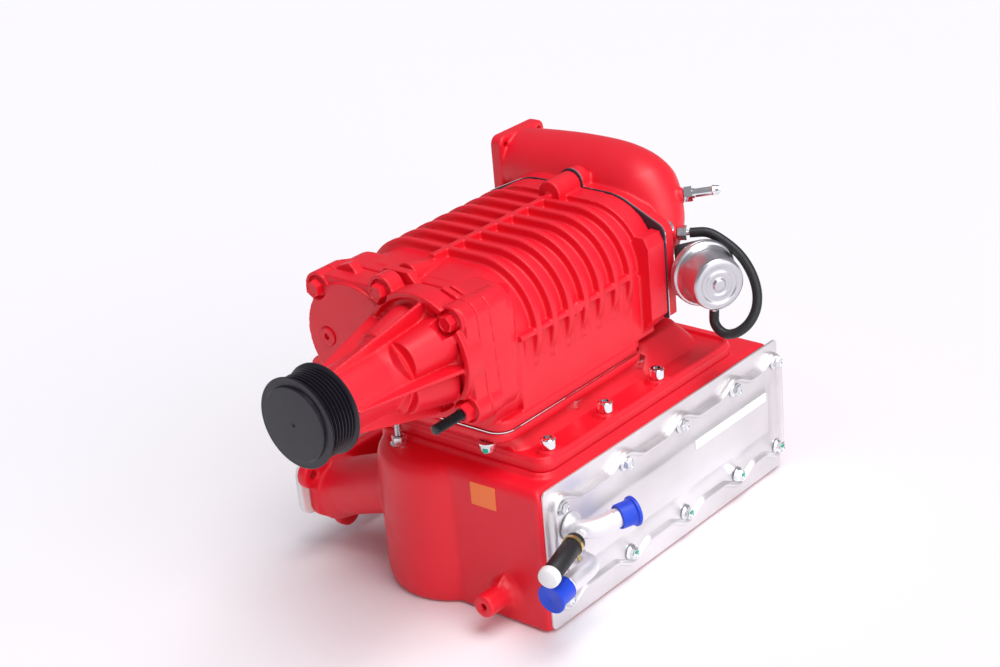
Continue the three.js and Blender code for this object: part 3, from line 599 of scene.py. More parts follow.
def front_cover():
    lip = combine([bar_y(54.2, -195.7, COVER_BACK_Y, AXLE_X, AXLE_Z, 96)],
                  [bar_y(49.5, -200, -190, AXLE_X, AXLE_Z, 96, 48)])
    parts = [lip, bar_y(49.3, -193, COVER_BACK_Y, -AXLE_X, AXLE_Z - 4, 96)]
    parts.append(pillow(-74, 76, 194, 291, 14, "y", COVER_FRONT_Y, COVER_BACK_Y, 1.5))
    spots = [*COVER_BOLTS, COVER_STUD, COVER_LOW_BOSS]
    parts += [bar_y(BOSS_R, COVER_FRONT_Y - 2, COVER_BACK_Y, x, AXLE_Z + z, 48) for x, z in spots]
    parts.append(right_side(COVER_FRONT_Y, COVER_BACK_Y))
    profile = [(0, 0), (40, 0), (36, 4), (31.5, 14), (30.5, 40), (29, 52), (27.6, 60), (26, 103),
               (25, 107), (0, 107)]
    root = Vector((AXLE_X, SNOUT_ROOT_Y, AXLE_Z))
    parts.append(turned(profile, root, FRONT, 96, ease=2))
    # bulged pads where the inner bearing seat meets the webs
    for degrees, seat, nose in ((38, 20, 17), (-38, 19, 16), (116, 15, 12)):
        t = math.radians(degrees)
        way = Vector((math.cos(t), 0, math.sin(t)))
        shoulder = root + way * 23 + FRONT * 42
        parts.append(rod(root + way * 29, shoulder, seat, nose, 48))
        parts.append(rod(shoulder, root + way * 18 + FRONT * 49, nose, nose - 6, 48))
    parts += webs()
    seats = [*COVER_BOLTS, COVER_STUD]
    cuts = [bar_y(10.2, -205, COVER_FRONT_Y + 1.5, x, AXLE_Z + z, 48) for x, z in seats]
    cuts.append(bar_y(8.6, -197, -191.6, OIL_PLUG_X, OIL_PLUG_Z, 48))
    cuts.append(bar_y(7.4, -197, -187, OIL_PLUG_X, OIL_PLUG_Z, 48))
    cuts.append(bar_y(17.8, -305, -286, AXLE_X, AXLE_Z, 64))
    return cast(parts, cuts, voxel=0.95, rounds=3, keep=0.4)


def step_lug(x0, x1, y0, y1, z_top, tilt=0.0):
    """Lug with bevelled shoulders that stands on the top of a flange."""
    points = []
    for y in (y0, y1):
        points += [(x0 - 8, y, z_top - 9 + tilt), (x0, y, z_top + tilt), (x1, y, z_top - tilt),
                   (x1 + 8, y, z_top - 9 - tilt), (x0 - 8, y, z_top - 24), (x1 + 8, y, z_top - 24)]
    return skin(points)


def bearing_plate():
    parts = [pillow(-86.5, 86.5, 181, 289, 18, "y", COVER_BACK_Y, PLATE_BACK_Y, 0.8, 0.8)]
    spots = [*COVER_BOLTS[:2], COVER_STUD, COVER_LOW_BOSS]
    parts += [bar_y(BOSS_R, COVER_BACK_Y, PLATE_BACK_Y, x, AXLE_Z + z, 48) for x, z in spots]
    parts.append(right_side(COVER_BACK_Y, PLATE_BACK_Y))
    parts.append(step_lug(-12, 14, COVER_BACK_Y + 3, PLATE_BACK_Y - 4, 301))
    parts.append(step_lug(52, 66, COVER_BACK_Y + 0.6, PLATE_BACK_Y - 8.5, 295, 2.5))
    parts.append(step_lug(54, 70, COVER_BACK_Y + 9, PLATE_BACK_Y - 1, 293.5, 3))
    parts.append(step_lug(-64, -50, COVER_BACK_Y + 2, PLATE_BACK_Y - 3, 295, -2.5))
    return cast(parts, voxel=1.0, rounds=3, keep=0.35)


def scoop(y):
    """Gouge under the side spine that runs out into the skirt."""
    return [rod((side * 89.5, y + 1.5, 239.6), (side * 88.6, y - 3, 204), 6.4, 2, 32)
            for side in (-1, 1)]


def rotor_housing():
    parts = [pillow(-86.5, 86.5, 172, 290, 22, "y", PLATE_BACK_Y, -128, 0.8, 6)]
    parts.append(right_side(PLATE_BACK_Y, -140))
    parts.append(slab(lobes(WALL_R - 3), "y", -150, 40))
    for k in range(RIBS):
        y = RIB_FIRST_Y + k * RIB_PITCH
        parts.append(slab(lobes(RIB_R), "y", y - 3, y + 3))
        parts.append(block(-87.2, 87.2, y - 2.4, y + 2.4, 212, 243))
    parts.append(block(-3, 3, -128, 30, AXLE_Z + 40, AXLE_Z + RIB_R))
    parts.append(pillow(-91.5, 91.5, 239.8, 245.2, 1.5, "y", -130, 26))
    parts.append(block(-86.3, 86.3, -129, 28, 172, 241))
    parts.append(pillow(-88, 88, -160, 33, 15, "z", BLOWER_BASE_Z, 178, 0.5, 3))
    # bolt bosses that run back from the bearing plate into the barrel
    draw_in = 0.86
    for x, z in COVER_BOLTS:
        tail = (x * draw_in, -112, AXLE_Z + z * draw_in)
        parts.append(rod((x, PLATE_BACK_Y, AXLE_Z + z), tail, 12.5, 7, 48))
    # tab on the spine
    parts.append(pillow(-62, -52, 236, 249, 3, "x", 80, 94, 0, 2))
    parts.append(slab(lobes(WALL_R + 2), "y", 36, HOUSING_BACK_Y))
    corner = ((98, 196), (88, 184), (98, 262), (94, 271), (86, 272), (79, 265), (78, 184))
    for side in (-1, 1):
        parts.append(skin([(side * x, y, z) for y in (34, HOUSING_BACK_Y) for x, z in corner]))
    parts.append(bar_y(11.5, 26, HOUSING_BACK_Y, 0, AXLE_Z + 55.5, 48))
    parts.append(block(-11.5, 11.5, 26, HOUSING_BACK_Y, AXLE_Z + 30, AXLE_Z + 55.5))
    parts.append(block(-87, 87, 20, 50, 178, 236))
    cuts = [m for k in range(RIBS) for m in scoop(RIB_FIRST_Y + k * RIB_PITCH - 10)]
    cuts.append(block(-34, 34, -146, -40, 160, 200))
    return cast(parts, cuts, voxel=1.0, rounds=3, keep=0.3)


def rear_flange(y0, y1, inset=0.0):
    """Outline shared by the housing's rear flange, the gasket and the elbow flange."""
    right = 98 - inset
    foot = ((-right, 196), (-88, 184 + inset), (88, 184 + inset), (right, 200))
    plate = skin([(x, y, z) for y in (y0, y1) for x, z in foot])
    shoulders = []
    for y in (y0, y1):
        for side in (-1, 1):
            shoulders += circle((side * AXLE_X, y, AXLE_Z), FRONT, WALL_R + 2 - inset, 64)
            shoulders += circle((side * 88.5, y, 267), FRONT, 9.5 - inset, 24)
        shoulders += [(-right, y, 190), (right, y, 190)]
    return [plate, skin(shoulders), bar_y(12 - inset, y0, y1, 0, AXLE_Z + 56, 64),
            block(-12 + inset, 12 - inset, y0, y1, AXLE_Z + 30, AXLE_Z + 56)]


def rear_gasket():
    sheet = combine(rear_flange(HOUSING_BACK_Y + 0.05, ELBOW_FRONT_Y - 0.9, -0.5))
    piece("rear_gasket_sheet", sheet, GASKET, ("rear_gasket",), 30)
    edge = combine(rear_flange(ELBOW_FRONT_Y - 0.9, ELBOW_FRONT_Y - 0.05, -0.8))
    piece("rear_gasket_steel_core", edge, CHROME, (), 30)


def inlet_elbow():
    duct_path = [(THROTTLE_X + 8, DUCT_Y, DUCT_Z), (-60, DUCT_Y, DUCT_Z), (-20, DUCT_Y, DUCT_Z),
                 (20, DUCT_Y - 1, DUCT_Z - 1), (47, DUCT_Y - 6, DUCT_Z - 6), (67, DUCT_Y - 15, DUCT_Z - 23),
                 (73, DUCT_Y - 25, DUCT_Z - 46)]

    def duct_radius(t):
        return 31 + 5 * math.sin(math.pi * min(1, t * 1.25)) - 13 * max(0, t - 0.68) / 0.32

    parts = [tube(duct_path, duct_radius, 10, 72)]
    rings = place(rounded(-68, 84, 206, 278, 20), "y", 66)
    rings += circle((20, 96, 262), OUT, 30, 40) + circle((62, 92, 254), OUT, 25, 40)
    rings += circle((-40, 94, 264), OUT, 26, 40)
    parts.append(skin(rings))
    shoulder = circle((58, 92, 270), OUT, 26, 40) + circle((78, 84, 250), OUT, 18, 40)
    shoulder += circle((76, 80, 226), OUT, 14, 40) + circle((20, 90, 250), OUT, 26, 40)
    parts.append(skin(shoulder))
    neck = circle((VALVE.x, VALVE.y, 231), UP, 21.5, 48)
    neck += circle((VALVE.x, DUCT_Y - 13, 266), UP, 28, 48)
    parts.append(skin(neck))
    half = 32
    parts.append(pillow(DUCT_Y - half, DUCT_Y + half, DUCT_Z - half, DUCT_Z + half, 8,
                        "x", THROTTLE_X, THROTTLE_X + 12, 0.6, 1.5))
    parts.append(bar_z(22.5, 168, 229, VALVE.x, VALVE.y, 64))
    parts.append(pillow(10, 67, 60, 112, 12, "z", 168, 176, 0, 3))
    parts += rear_flange(ELBOW_FRONT_Y, ELBOW_FLANGE_Y)
    parts.append(rod((70, 76, 258), (91, 86.5, 258), 8.5, 7.5, 48))
    parts.append(rod((60, 90, 282), (85, 106.6, 285.2), 9, 7, 48))
    parts.append(rod(VALVE - SHAFT_DIR * 23, VALVE + SHAFT_DIR * 30, 8.5, 8.5, 48))
    # small round boss on the duct with a web down to the flange
    parts.append(rod((-50, DUCT_Y - 20, DUCT_Z + 10), (-50, DUCT_Y - 39, DUCT_Z - 8), 6, 4.5, 32))
    web = ((70, 262), (70, 282), (90, 262), (92, 292))
    parts.append(skin([(x, y, z) for x in (-52, -48) for y, z in web]))
    bore = tube([(THROTTLE_X - 4, DUCT_Y, DUCT_Z), (-60, DUCT_Y, DUCT_Z), (-10, DUCT_Y, DUCT_Z),
                 (30, DUCT_Y - 2, DUCT_Z - 4)], 25.4, 6, 72)
    cuts = [bore, skin(circle((-10, DUCT_Y - 4, DUCT_Z - 8), OUT, 25, 24)
                       + place(rounded(-34, 34, AXLE_Z + 18, AXLE_Z + 40, 6), "y", 64))]
    cuts.append(bar_z(VALVE_BORE_R, 150, 236, VALVE.x, VALVE.y, 64))
    cuts += [bar_x(2.6, THROTTLE_X - 2, THROTTLE_X + 14, DUCT_Y + dy, DUCT_Z + dz, 24)
             for dy in (-THROTTLE_BOLT, THROTTLE_BOLT) for dz in (-THROTTLE_BOLT, THROTTLE_BOLT)]
    return cast(parts, cuts, voxel=1.15, rounds=7, keep=0.4)


# ----- plenum and manifold -----
def base_gasket():
    sheet = slab(rounded(-88.2, 88.2, -160.2, 34.2, 15), "z", PAD_Z + 0.05, PAD_Z + 0.8)
    piece("base_gasket_sheet", sheet, GASKET, ("base_gasket",), 30)
    outline = rounded(-88.8, 88.8, -160.8, 34.8, 15.6)
    edge = slab(outline, "z", PAD_Z + 0.8, BLOWER_BASE_Z - 0.05)
    piece("base_gasket_steel_core", edge, CHROME, (), 30)


def upper_plenum():
    parts = [pillow(-66, 120, -149, 126, 14, "z", 136, 145, 0.5, 2)]
    rim = combine([pillow(-64.5, 118.5, -147.5, 124.5, 13, "z", 143, 148.2, 0, 1.2)],
                  [pillow(-60.5, 114.5, -143.5, 120.5, 9, "z", 144.5, 152)])
    parts.append(rim)
    # slopes from the lid up to the blower's pad and to the seat of the bypass
    parts.append(skin(place(rounded(-62, 92, -143, 112, 18), "z", 144)
                      + place(rounded(-77, 77, -151, 31, 16), "z", 160)))
    parts.append(pillow(-89, 89, -161.5, 35.5, 16, "z", 159.4, PAD_Z, 1.5, 0.6))
    parts.append(skin(place(rounded(-10, 94, 20, 116, 16), "z", 144)
                      + place(rounded(4, 78, 40, 100, 14), "z", 166.8)))
    for x, y in LID_BOLTS:
        parts.append(bar_z(12.5, 143, 149.3, x, y, 48, 8.6))
    cuts = [bar_z(VALVE_BORE_R, 155, 175, VALVE.x, VALVE.y, 64)]
    return cast(parts, cuts, voxel=1.1, rounds=4, keep=0.3)


def cooler_housing():
    parts = [pillow(BOX_LEFT_X, BOX_RIGHT_X, COLUMN_Y, BOX_BACK_Y, 20, "z", 0, LID_Z, 5, 9)]
    parts.append(pillow(COLUMN_X, BOX_RIGHT_X, BOX_FRONT_Y, BOX_BACK_Y, 4, "z", 0.5, LID_Z, 4.5, 9))
    # rounded bolt column at the front left corner, drawn in below its shoulder
    column = [(0, 0), (57, 0), (60, 3), (62, 12), (62, 117), (60, 126), (53, LID_Z), (0, LID_Z)]
    parts.append(turned(column, (COLUMN_X, COLUMN_Y, 0), UP, 96, ease=4))
    parts.append(pillow(-66, 120, -151, 128, 14, "z", 128, 136, 0, 1))
    # spout on the front wall, with a web above it
    spout = [(0, 0), (9.6, 0), (10.2, 0.8), (10.2, 20), (11, 25), (15, 31), (15, 51), (0, 51)]
    parts.append(turned(spout, (SPOUT_X, SPOUT_TIP_Y, SPOUT_Z), -FRONT, 64))
    web = ((-186, 38), (-170, 48), (-170, 36))
    parts.append(skin([(x, y, z) for x in (SPOUT_X - 1.5, SPOUT_X + 1.5) for y, z in web]))
    slope = 0.348

    def runner(x, y):
        return (x, y, 77 + (x + 62) * slope)

    flange_back_x = FLANGE_X + FLANGE_THICK
    lower_bolts = [(y + 9, FLANGE_LOWER_BOLT_Z) for y in RUNNER_Y]
    for y, (bolt_y, bolt_z) in zip(RUNNER_Y, lower_bolts):
        parts.append(rod(runner(-40, y), runner(-136, y), 27, 25.5, 72))
        parts.append(rod(runner(-112, y), runner(-134, y), 25.8, 29, 72))
        parts.append(bar_x(14, FLANGE_X, flange_back_x, bolt_y, bolt_z, 48))
    parts.append(pillow(-172, 158, 33, 84, 14, "x", FLANGE_X, flange_back_x, 0.6, 1.5))
    parts += [bar_x(13, FLANGE_X, flange_back_x, y, z, 48) for y, z in FLANGE_UPPER_BOLTS]
    cuts = [block(-160, FLANGE_X, -220, 220, -20, 120)]
    cuts.append(bar_y(3.2, -206, -150, SPOUT_X, SPOUT_Z, 24))
    cuts += [bar_x(4.5, FLANGE_X - 2, flange_back_x + 2, y, z, 24)
             for y, z in FLANGE_UPPER_BOLTS + lower_bolts]
    # fine groove where the front wall meets the machined cooler face
    cuts.append(block(124.4, 125.4, -173, BOX_FRONT_Y + 1.0, 6, 126))
    return cast(parts, cuts, voxel=1.5, rounds=9, keep=0.35)


def port_cover():
    """White protective strip over the ports: a flat plate with eased edges that reaches a little past the flange's
    outline.
    """
    plate = pillow(-180, 165, 37, 88, 12, "x", FLANGE_X - 7, FLANGE_X - 0.1, 1.6, 0.8)
    return cast([plate], voxel=1.4, rounds=2, keep=0.4)


# ----- cooler -----
def header_plate():
    return pillow(-167, 173.8, 2.5, LID_Z, 5, "x", BOX_RIGHT_X + 0.05, 131, 0.2, 0.4)


def bulge(y, reach=27):
    """1 beside a pan bolt, falling to 0 between bolts."""
    nearest = min(abs(y - b) for b in PAN_BOLTS_Y)
    t = min(1.0, nearest / reach)
    return 0.5 + 0.5 * math.cos(math.pi * t)


def pan_ring(offset, level, wave):
    """Scalloped outline of the cooler cover, drawn in by offset."""
    low_y, high_y = -163.5 + offset, 173.2 - offset
    corner = max(15 - offset, 5)
    start, end = low_y + corner, high_y - corner
    steps = 160

    def swell(y):
        return 2 + 9.5 * wave * bulge(y)

    along = [start + (end - start) * i / steps for i in range(steps + 1)]
    lower = [(y, PAN_BOLTS_Z[1] - swell(y) + offset) for y in along]
    upper = [(y, PAN_BOLTS_Z[0] + swell(y) - offset) for y in reversed(along)]
    turns = ((end, lower[-1][1] + corner, -90), (end, upper[0][1] - corner, 0),
             (start, upper[-1][1] - corner, 90), (start, lower[0][1] + corner, 180))
    arcs = []
    for cy, cz, first in turns:
        angles = [math.radians(first + 9 * i) for i in range(1, 10)]
        arcs.append([(cy + corner * math.cos(a), cz + corner * math.sin(a)) for a in angles])
    made = lower + arcs[0] + arcs[1] + upper + arcs[2] + arcs[3]
    return [Vector((level, y, z)) for y, z in made]


def cooler_cover():
    """Pressed cover: rolled scalloped bead, flat bolt flange and raised middle panel."""
    bead = [(0, 131.05), (0, 134.6), (0.8, 137), (2.3, 138.3), (4.1, 138.2), (5.6, 136.8),
            (6.8, 134.4)]
    rings = [pan_ring(o, x, 1.0) for o, x in bead]
    rings += [pan_ring(9.5, 134.0, 0.95), pan_ring(21, 134.2, 0.2), pan_ring(24, 136.6, 0.1),
              pan_ring(27, 137.5, 0.0), pan_ring(40, 137.8, 0.0)]
    return loft(rings)


# ----- fasteners -----
def hex_bolt(seat, direction, across, height, flange_r, shank=0.0, shank_r=4, phase=0.0):
    """Flanged hexagon head with a chamfered top."""
    seat, d = Vector(seat), Vector(direction).normalized()
    radius = across / math.sqrt(3)
    collar = [(0, 0), (flange_r, 0), (flange_r, 0.9), (radius * 0.95, 2.3), (0, 2.3)]
    flange = turned(collar, seat + d * 0.05, d, 48)
    head = loft([circle(seat + d * 1.2, d, radius, 6, phase),
                 circle(seat + d * (height - 0.9), d, radius, 6, phase),
                 circle(seat + d * height, d, radius * 0.88, 6, phase)])
    hollow = [(0, 0), (radius * 0.62, 0), (radius * 0.7, 1.2), (0, 1.2)]
    dish = turned(hollow, seat + d * (height - 0.7), d, 32)
    adds = [head, flange]
    if shank:
        adds.append(rod(seat - d * shank, seat + d * 0.5, shank_r, shank_r, 24))
    return combine(adds, [dish])


def socket_screw(seat, direction, radius, height, shank, shank_r):
    """Round head with a hexagon socket."""
    seat, d = Vector(seat), Vector(direction).normalized()
    profile = [(0, 0), (radius - 0.5, 0), (radius, 0.6), (radius, height - 1),
               (radius - 0.9, height), (0, height)]
    head = turned(profile, seat, d, 64)
    stem = rod(seat - d * shank, seat + d * 0.4, shank_r, shank_r, 24)
    key = rod(seat + d * (height - 4.2), seat + d * (height + 1), radius * 0.56, radius * 0.56, 6, 0.2)
    return combine([head, stem], [key])


def threaded(a, direction, length, radius, pitch=1.25):
    """Stud whose thread is drawn as close rings."""
    profile = [(0, 0), (radius - 1.2, 0)]
    turns = int(length / pitch)
    for i in range(turns):
        t = i * length / turns
        profile += [(radius - 1.1, t + 0.06), (radius, t + pitch * 0.5)]
    profile += [(radius - 1.2, length), (0, length)]
    return turned(profile, a, direction, 40)


def mark(name, center, direction, radius):
    """Small dab of paint on a bolt."""
    d = Vector(direction).normalized()
    thick = 0.12
    dab = turned([(0, 0), (radius, 0), (radius * 0.8, thick), (0, thick * 1.4)], center, d, 20)
    piece(name, dab, GREEN, (), 40)


def cover_fasteners():
    """Painted bolts, nut and long stud of the front cover."""
    seat_y = COVER_FRONT_Y + 1.4
    names = ("cover_bolt_right", "cover_bolt_left", "cover_bolt_top")
    for i, (x, z) in enumerate(COVER_BOLTS):
        mesh = hex_bolt((x, seat_y, AXLE_Z + z), FRONT, 12.8, 10, 9.2, 10, 3.6, 0.3 * i + 0.2)
        piece(names[i] + "_head", mesh, RED, (names[i],), 28)
    x, z = COVER_STUD[0], AXLE_Z + COVER_STUD[1]
    stud = threaded((x, STUD_TIP_Y, z), -FRONT, STUD_LENGTH, 4.3)
    piece("threaded_stud", stud, TURNED_BLACK, ("cover_stud",), 50)
    nut = combine([hex_bolt((x, seat_y, z), FRONT, 14.2, 12, 9.6, 0, 4, 0.4)],
                  [rod((x, -210, z), (x, -184, z), 4.5, 4.5, 32)])
    piece("stud_nut", nut, RED, ("cover_stud_nut",), 28)


def lid_fasteners():
    """Stud of the bolt column, screws of the lid and screws under the blower's foot."""
    column = combine([threaded((*COLUMN_STUD, 137), UP, 14, 3.5, 1.0),
                      hex_bolt((*COLUMN_STUD, LID_Z), UP, 11.4, 8, 8)])
    piece("column_stud_and_nut", column, ZINC, ("column_stud",), 35)
    for (x, y), where in zip(LID_BOLTS, ("front", "middle", "rear")):
        mesh = socket_screw((x, y, LID_SEAT_Z), UP, 6.5, 9.2, 10, 3.2)
        piece("lid_screw_" + where, mesh, CHROME, ("lid_bolt_" + where,), 35)
    profile = [(0, 0), (8, 0), (8, 1.6), (7.2, 2.4), (7, 7), (6, 9), (4, 10), (0, 10.2)]
    for i, (x, y) in enumerate(FOOT_SCREWS):
        head = turned(profile, (x, y, FOOT_SEAT_Z), -UP, 48)
        piece(f"foot_screw_{i + 1}", head, ZINC, (), 40)


def elbow_fasteners():
    profile = [(0, 0), (7.4, 0), (7.4, 1.4), (6, 2.2), (6, 6.4), (5, 7.4), (0, 7.4)]
    for i, (x, z) in enumerate(ELBOW_SCREWS):
        head = turned(profile, (x, ELBOW_FLANGE_Y + 0.2, z), -FRONT, 40)
        piece(f"elbow_screw_{i + 1}", head, ZINC, (), 35)


def cooler_fasteners():
    """Two rows of five screws that hold the cooler cover."""
    for i, y in enumerate(PAN_BOLTS_Y):
        for k, (row, z) in enumerate(zip(("upper", "lower"), PAN_BOLTS_Z)):
            mesh = hex_bolt((PAN_SEAT_X, y, z), OUT, 9.6, 6, 7.2, 0, 3, 0.37 * i + 0.5 * k)
            piece(f"cover_screw_{row}_{i + 1}", mesh, ZINC, (), 28)


def paint_marks():
    mark("paint_mark_5", (72.5, -165.6, 153.5), Vector((0.35, -0.93, 0)), 2.6)
    for i in (1, 2, 3, 4):
        center = (140.35, PAN_BOLTS_Y[i] + 1.2, PAN_BOLTS_Z[1] + 1.6)
        mark(f"paint_mark_{i}", center, OUT, 2.3)


# ----- pipes, caps and hoses -----
PIPE_R = 8.2
OUTLET_ROOT, INLET_ROOT = (135.2, -140, 90), (135.2, -136, 57)
OUTLET_ROUTE = [(136.8, -140, 90), (145, -140, 90), (153, -134, 90.5), (159, -120, 91.5),
                (164, -106, 92.5), (167.2, -98, 93)]
INLET_ROUTE = [(136.8, -136, 57), (144.5, -136, 57), (151.5, -140, 58.5), (156, -150, 60),
               (157.5, -166, 60.5), (158, -197.6, 58.5)]
BLEED_START = Vector((152.1, -155, 88.8))
BLEED_DIR = Vector((12.9, -54.6, -5)).normalized()
HOSE_R = 4.3
HOSE_ROUTE = [(100.3, 91.7, 258), (114, 100, 257.5), (129, 107.5, 252), (143, 108.5, 240),
              (155, 106.2, 226.3), (164.2, 102, 212), (167.6, 95, 199), (166, 85.5, 187),
              (158, 76, 179.5), (148.5, 71.2, 176.5), (139.5, 70.2, 180), (135.9, 72.5, 188),
              (135.9, 72.5, 199)]


def coolant_pipe(route, root):
    """Bent pipe with a root flare that is welded to the cover, and a bead near its mouth."""
    end = Vector(route[-1])
    run = (end - Vector(route[-2])).normalized()
    flare = turned([(0, 0), (13, 0), (12.4, 1.4), (9.8, 3.2), (8.8, 5), (0, 5)], root, OUT, 64)
    bead = turned([(0, 0), (PIPE_R, 0), (PIPE_R + 0.8, 1), (PIPE_R, 2), (0, 2)], end - run * 22, run, 48)
    return [tube(route, PIPE_R, 8, 48), flare, bead]


def pipes():
    outlet = coolant_pipe(OUTLET_ROUTE, OUTLET_ROOT)
    outlet.append(rod(BLEED_START - BLEED_DIR * 14, BLEED_START + BLEED_DIR * 18, 4, 4, 32))
    inlet = coolant_pipe(INLET_ROUTE, INLET_ROOT)
    for name, shapes in (("outlet", outlet), ("inlet", inlet)):
        mesh = cast(shapes, voxel=0.8, rounds=3, keep=0.5)
        piece(name + "_pipe", mesh, PIPE, (f"coolant_{name}_pipe",))


def pipe_cap(end, direction, length):
    """Push-on cap with a rolled rim and a dimple in its end."""
    d = Vector(direction).normalized()
    start = Vector(end) - d * length
    far = length + 2
    profile = [(0, far - 1.4), (9, far - 1.4), (9, 0.3), (9.4, 0), (10.2, 0.2), (10.6, 1),
               (10.9, far - 4.6), (11.4, far - 3.6), (12.8, far - 3.1), (13.1, far - 2.2),
               (13, far - 0.8), (12.2, far), (10.8, far), (9.6, far - 0.5), (2.4, far - 0.4),
               (1.5, far - 0.9), (0, far - 1)]
    return turned(profile, start, d, 72)


def caps():
    outlet = pipe_cap(OUTLET_ROUTE[-1], (0.37, 0.93, 0.055), 15)
    inlet = pipe_cap(INLET_ROUTE[-1], (0.013, -1, -0.065), 19)
    for name, mesh in (("outlet", outlet), ("inlet", inlet)):
        piece(name + "_pipe_cap", mesh, BLUE, (name + "_cap",), 40)


def bleed():
    """Short rubber hose on the bleed nipple, with its plug, spring clamp and paint mark."""
    sleeve = [(4.6, 0), (7.8, 0), (8.2, 0.6), (8.2, 3.4), (7.9, 7), (8.2, 11), (8.3, 20), (8.2, 47.8),
              (7.8, 48.4), (4.6, 48.4)]
    rings = [circle(BLEED_START + BLEED_DIR * t, BLEED_DIR, r, 48) for r, t in sleeve]
    hose = loft(rings, closed=True)
    piece("bleed_hose", hose, RUBBER, ("bleed_sleeve",), 50)
    profile = [(0, 48.6), (8.8, 48.6), (9.3, 49.4), (9.2, 53.2), (8.7, 55), (7.4, 56), (0, 56.3)]
    plug = turned(profile, BLEED_START, BLEED_DIR, 64)
    piece("bleed_hose_plug", plug, WHITE, ("bleed_plug",), 50)
    band = [(8.1, 5.4), (9.1, 5.4), (9.1, 8.8), (8.1, 8.8)]
    rings = [circle(BLEED_START + BLEED_DIR * t, BLEED_DIR, r, 48) for r, t in band]
    _, u, v = side_axes(BLEED_DIR)
    middle = BLEED_START + BLEED_DIR * 7.1
    ears = []
    for swing in (-0.35, 0.35):
        reach = (v * math.cos(swing) + u * math.sin(swing)).normalized()
        ears.append(skin([middle + reach * r + BLEED_DIR * t + u * s for r in (8.2, 14.5)
                          for t in (-1.7, 1.7) for s in (-0.5, 0.5)]))
    clamp = combine([loft(rings, closed=True), *ears])
    piece("spring_clamp", clamp, GOLD, ("bleed_clamp",), 35)
    dab = circle(BLEED_START + BLEED_DIR * 2, BLEED_DIR, 8.2, 40)
    wrap = [BLEED_START + BLEED_DIR * t + (dab[i] - BLEED_START - BLEED_DIR * 2) * k
            for t in (1.2, 9.5) for i in range(0, 8) for k in (0.99, 1.16)]
    piece("hose_paint_mark", skin(wrap), GREEN, (), 30)


def relaxed(route):
    """The route with its inner points drawn towards their neighbours, as a stiff hose lies."""
    points = [Vector(p) for p in route]
    for _ in range(2):
        inner = [(points[i - 1] + points[i] * 2 + points[i + 1]) / 4
                 for i in range(2, len(points) - 2)]
        points = [*points[:2], *inner, *points[-2:]]
    return points


def nipples():
    """Barbed breather nipple and the vacuum take-off on the elbow."""
    bend = Vector((0.8, 0.55, 0.1)).normalized()
    barb = Vector((85.4, 106.9, 285.3))
    profile = [(0, 6), (4.6, 6), (4.6, 9), (4, 9.6), (4, 24), (5.1, 25), (4.2, 28.5), (4.2, 29.4),
               (3.8, 31), (0, 31)]
    stem = turned(profile, barb, bend, 48)
    hexagon = loft([circle(barb, bend, 6.8, 6), circle(barb + bend * 7, bend, 6.8, 6)])
    bore = rod(barb + bend * 20, barb + bend * 34, 2.6, 2.6, 24)
    breather = combine([hexagon, stem], [bore])
    piece("breather_nipple", breather, CHROME, ("hose_barb",), 30)
    fit_dir = Vector((0.874, 0.486, 0)).normalized()
    fit = Vector((91.4, 86.7, 258))
    hexagon = loft([circle(fit, fit_dir, 6.6, 6), circle(fit + fit_dir * 7.6, fit_dir, 6.6, 6)])
    stem = rod(fit + fit_dir * 7, fit + fit_dir * 9.8, 2.4, 2.4, 24)
    take_off = combine([hexagon, stem])
    piece("vacuum_take_off", take_off, ZINC, ("vacuum_fitting",), 30)


def vacuum_line():
    line = tube(relaxed(HOSE_ROUTE), HOSE_R, 10, 32)
    piece("vacuum_line", line, RUBBER, ("vacuum_hose",), 60)


# ----- actuator and bypass valve -----
def actuator():
    """Two pressed cups crimped together at a rim, on their bracket."""
    can = [(0, -1.6), (21.8, -1.6), (21.8, -33), (29.2, -33), (29.6, -32.4), (29.6, -30), (28.6, -29),
           (27, -28.4), (25.4, -26), (24.4, -24), (23.9, -6), (23.3, -2.4), (21.4, -0.7), (18.6, -0.2),
           (16.6, -0.6), (15.6, -1.4), (13, -1.5), (11.8, -0.9), (9.8, -0.6), (8.4, -1.2), (6.6, -1.4),
           (5.6, -0.4), (5, 0.5), (3.4, 0.8), (0, 0.9)]
    shell = turned(can, CAN_TOP, ROD_DIR, 96, ease=0.7)
    low = CAN_TOP + ROD_DIR * -14
    nipple = rod(low - UP * 22, low - UP * 32, 3, 3, 32)
    upper = combine([shell, nipple])
    piece("actuator_upper_can", upper, SPUN, ("actuator_can",), 40)
    base = [(5.4, -50), (16.5, -50), (17.8, -49.6), (18.6, -48.4), (22.6, -38.8), (23.6, -37.2),
            (25, -36.6), (29, -36.4), (29.6, -35.8), (29.7, -33.8), (29.2, -33.1), (22.4, -33.1),
            (22.2, -36), (17.2, -48), (5.4, -48)]
    shell = loft([circle(CAN_TOP + ROD_DIR * t, ROD_DIR, r, 96) for r, t in base], closed=True)
    piece("actuator_lower_can", shell, SPUN, ("actuator_base",), 40)
    rows = []
    for t in (-53.4, -50.4):
        outline = rounded(-17, 13, -22, 16, 5, 5)
        rows.append([CAN_TOP + ROD_DIR * t + SHAFT_DIR * a + UP * -b for a, b in outline])
    tab = block(86.6, 98, 71.3, 74.3, 206, 236)
    bracket = combine([loft(rows), tab])
    piece("actuator_mounting_bracket", bracket, DARK, ("actuator_bracket",), 30)


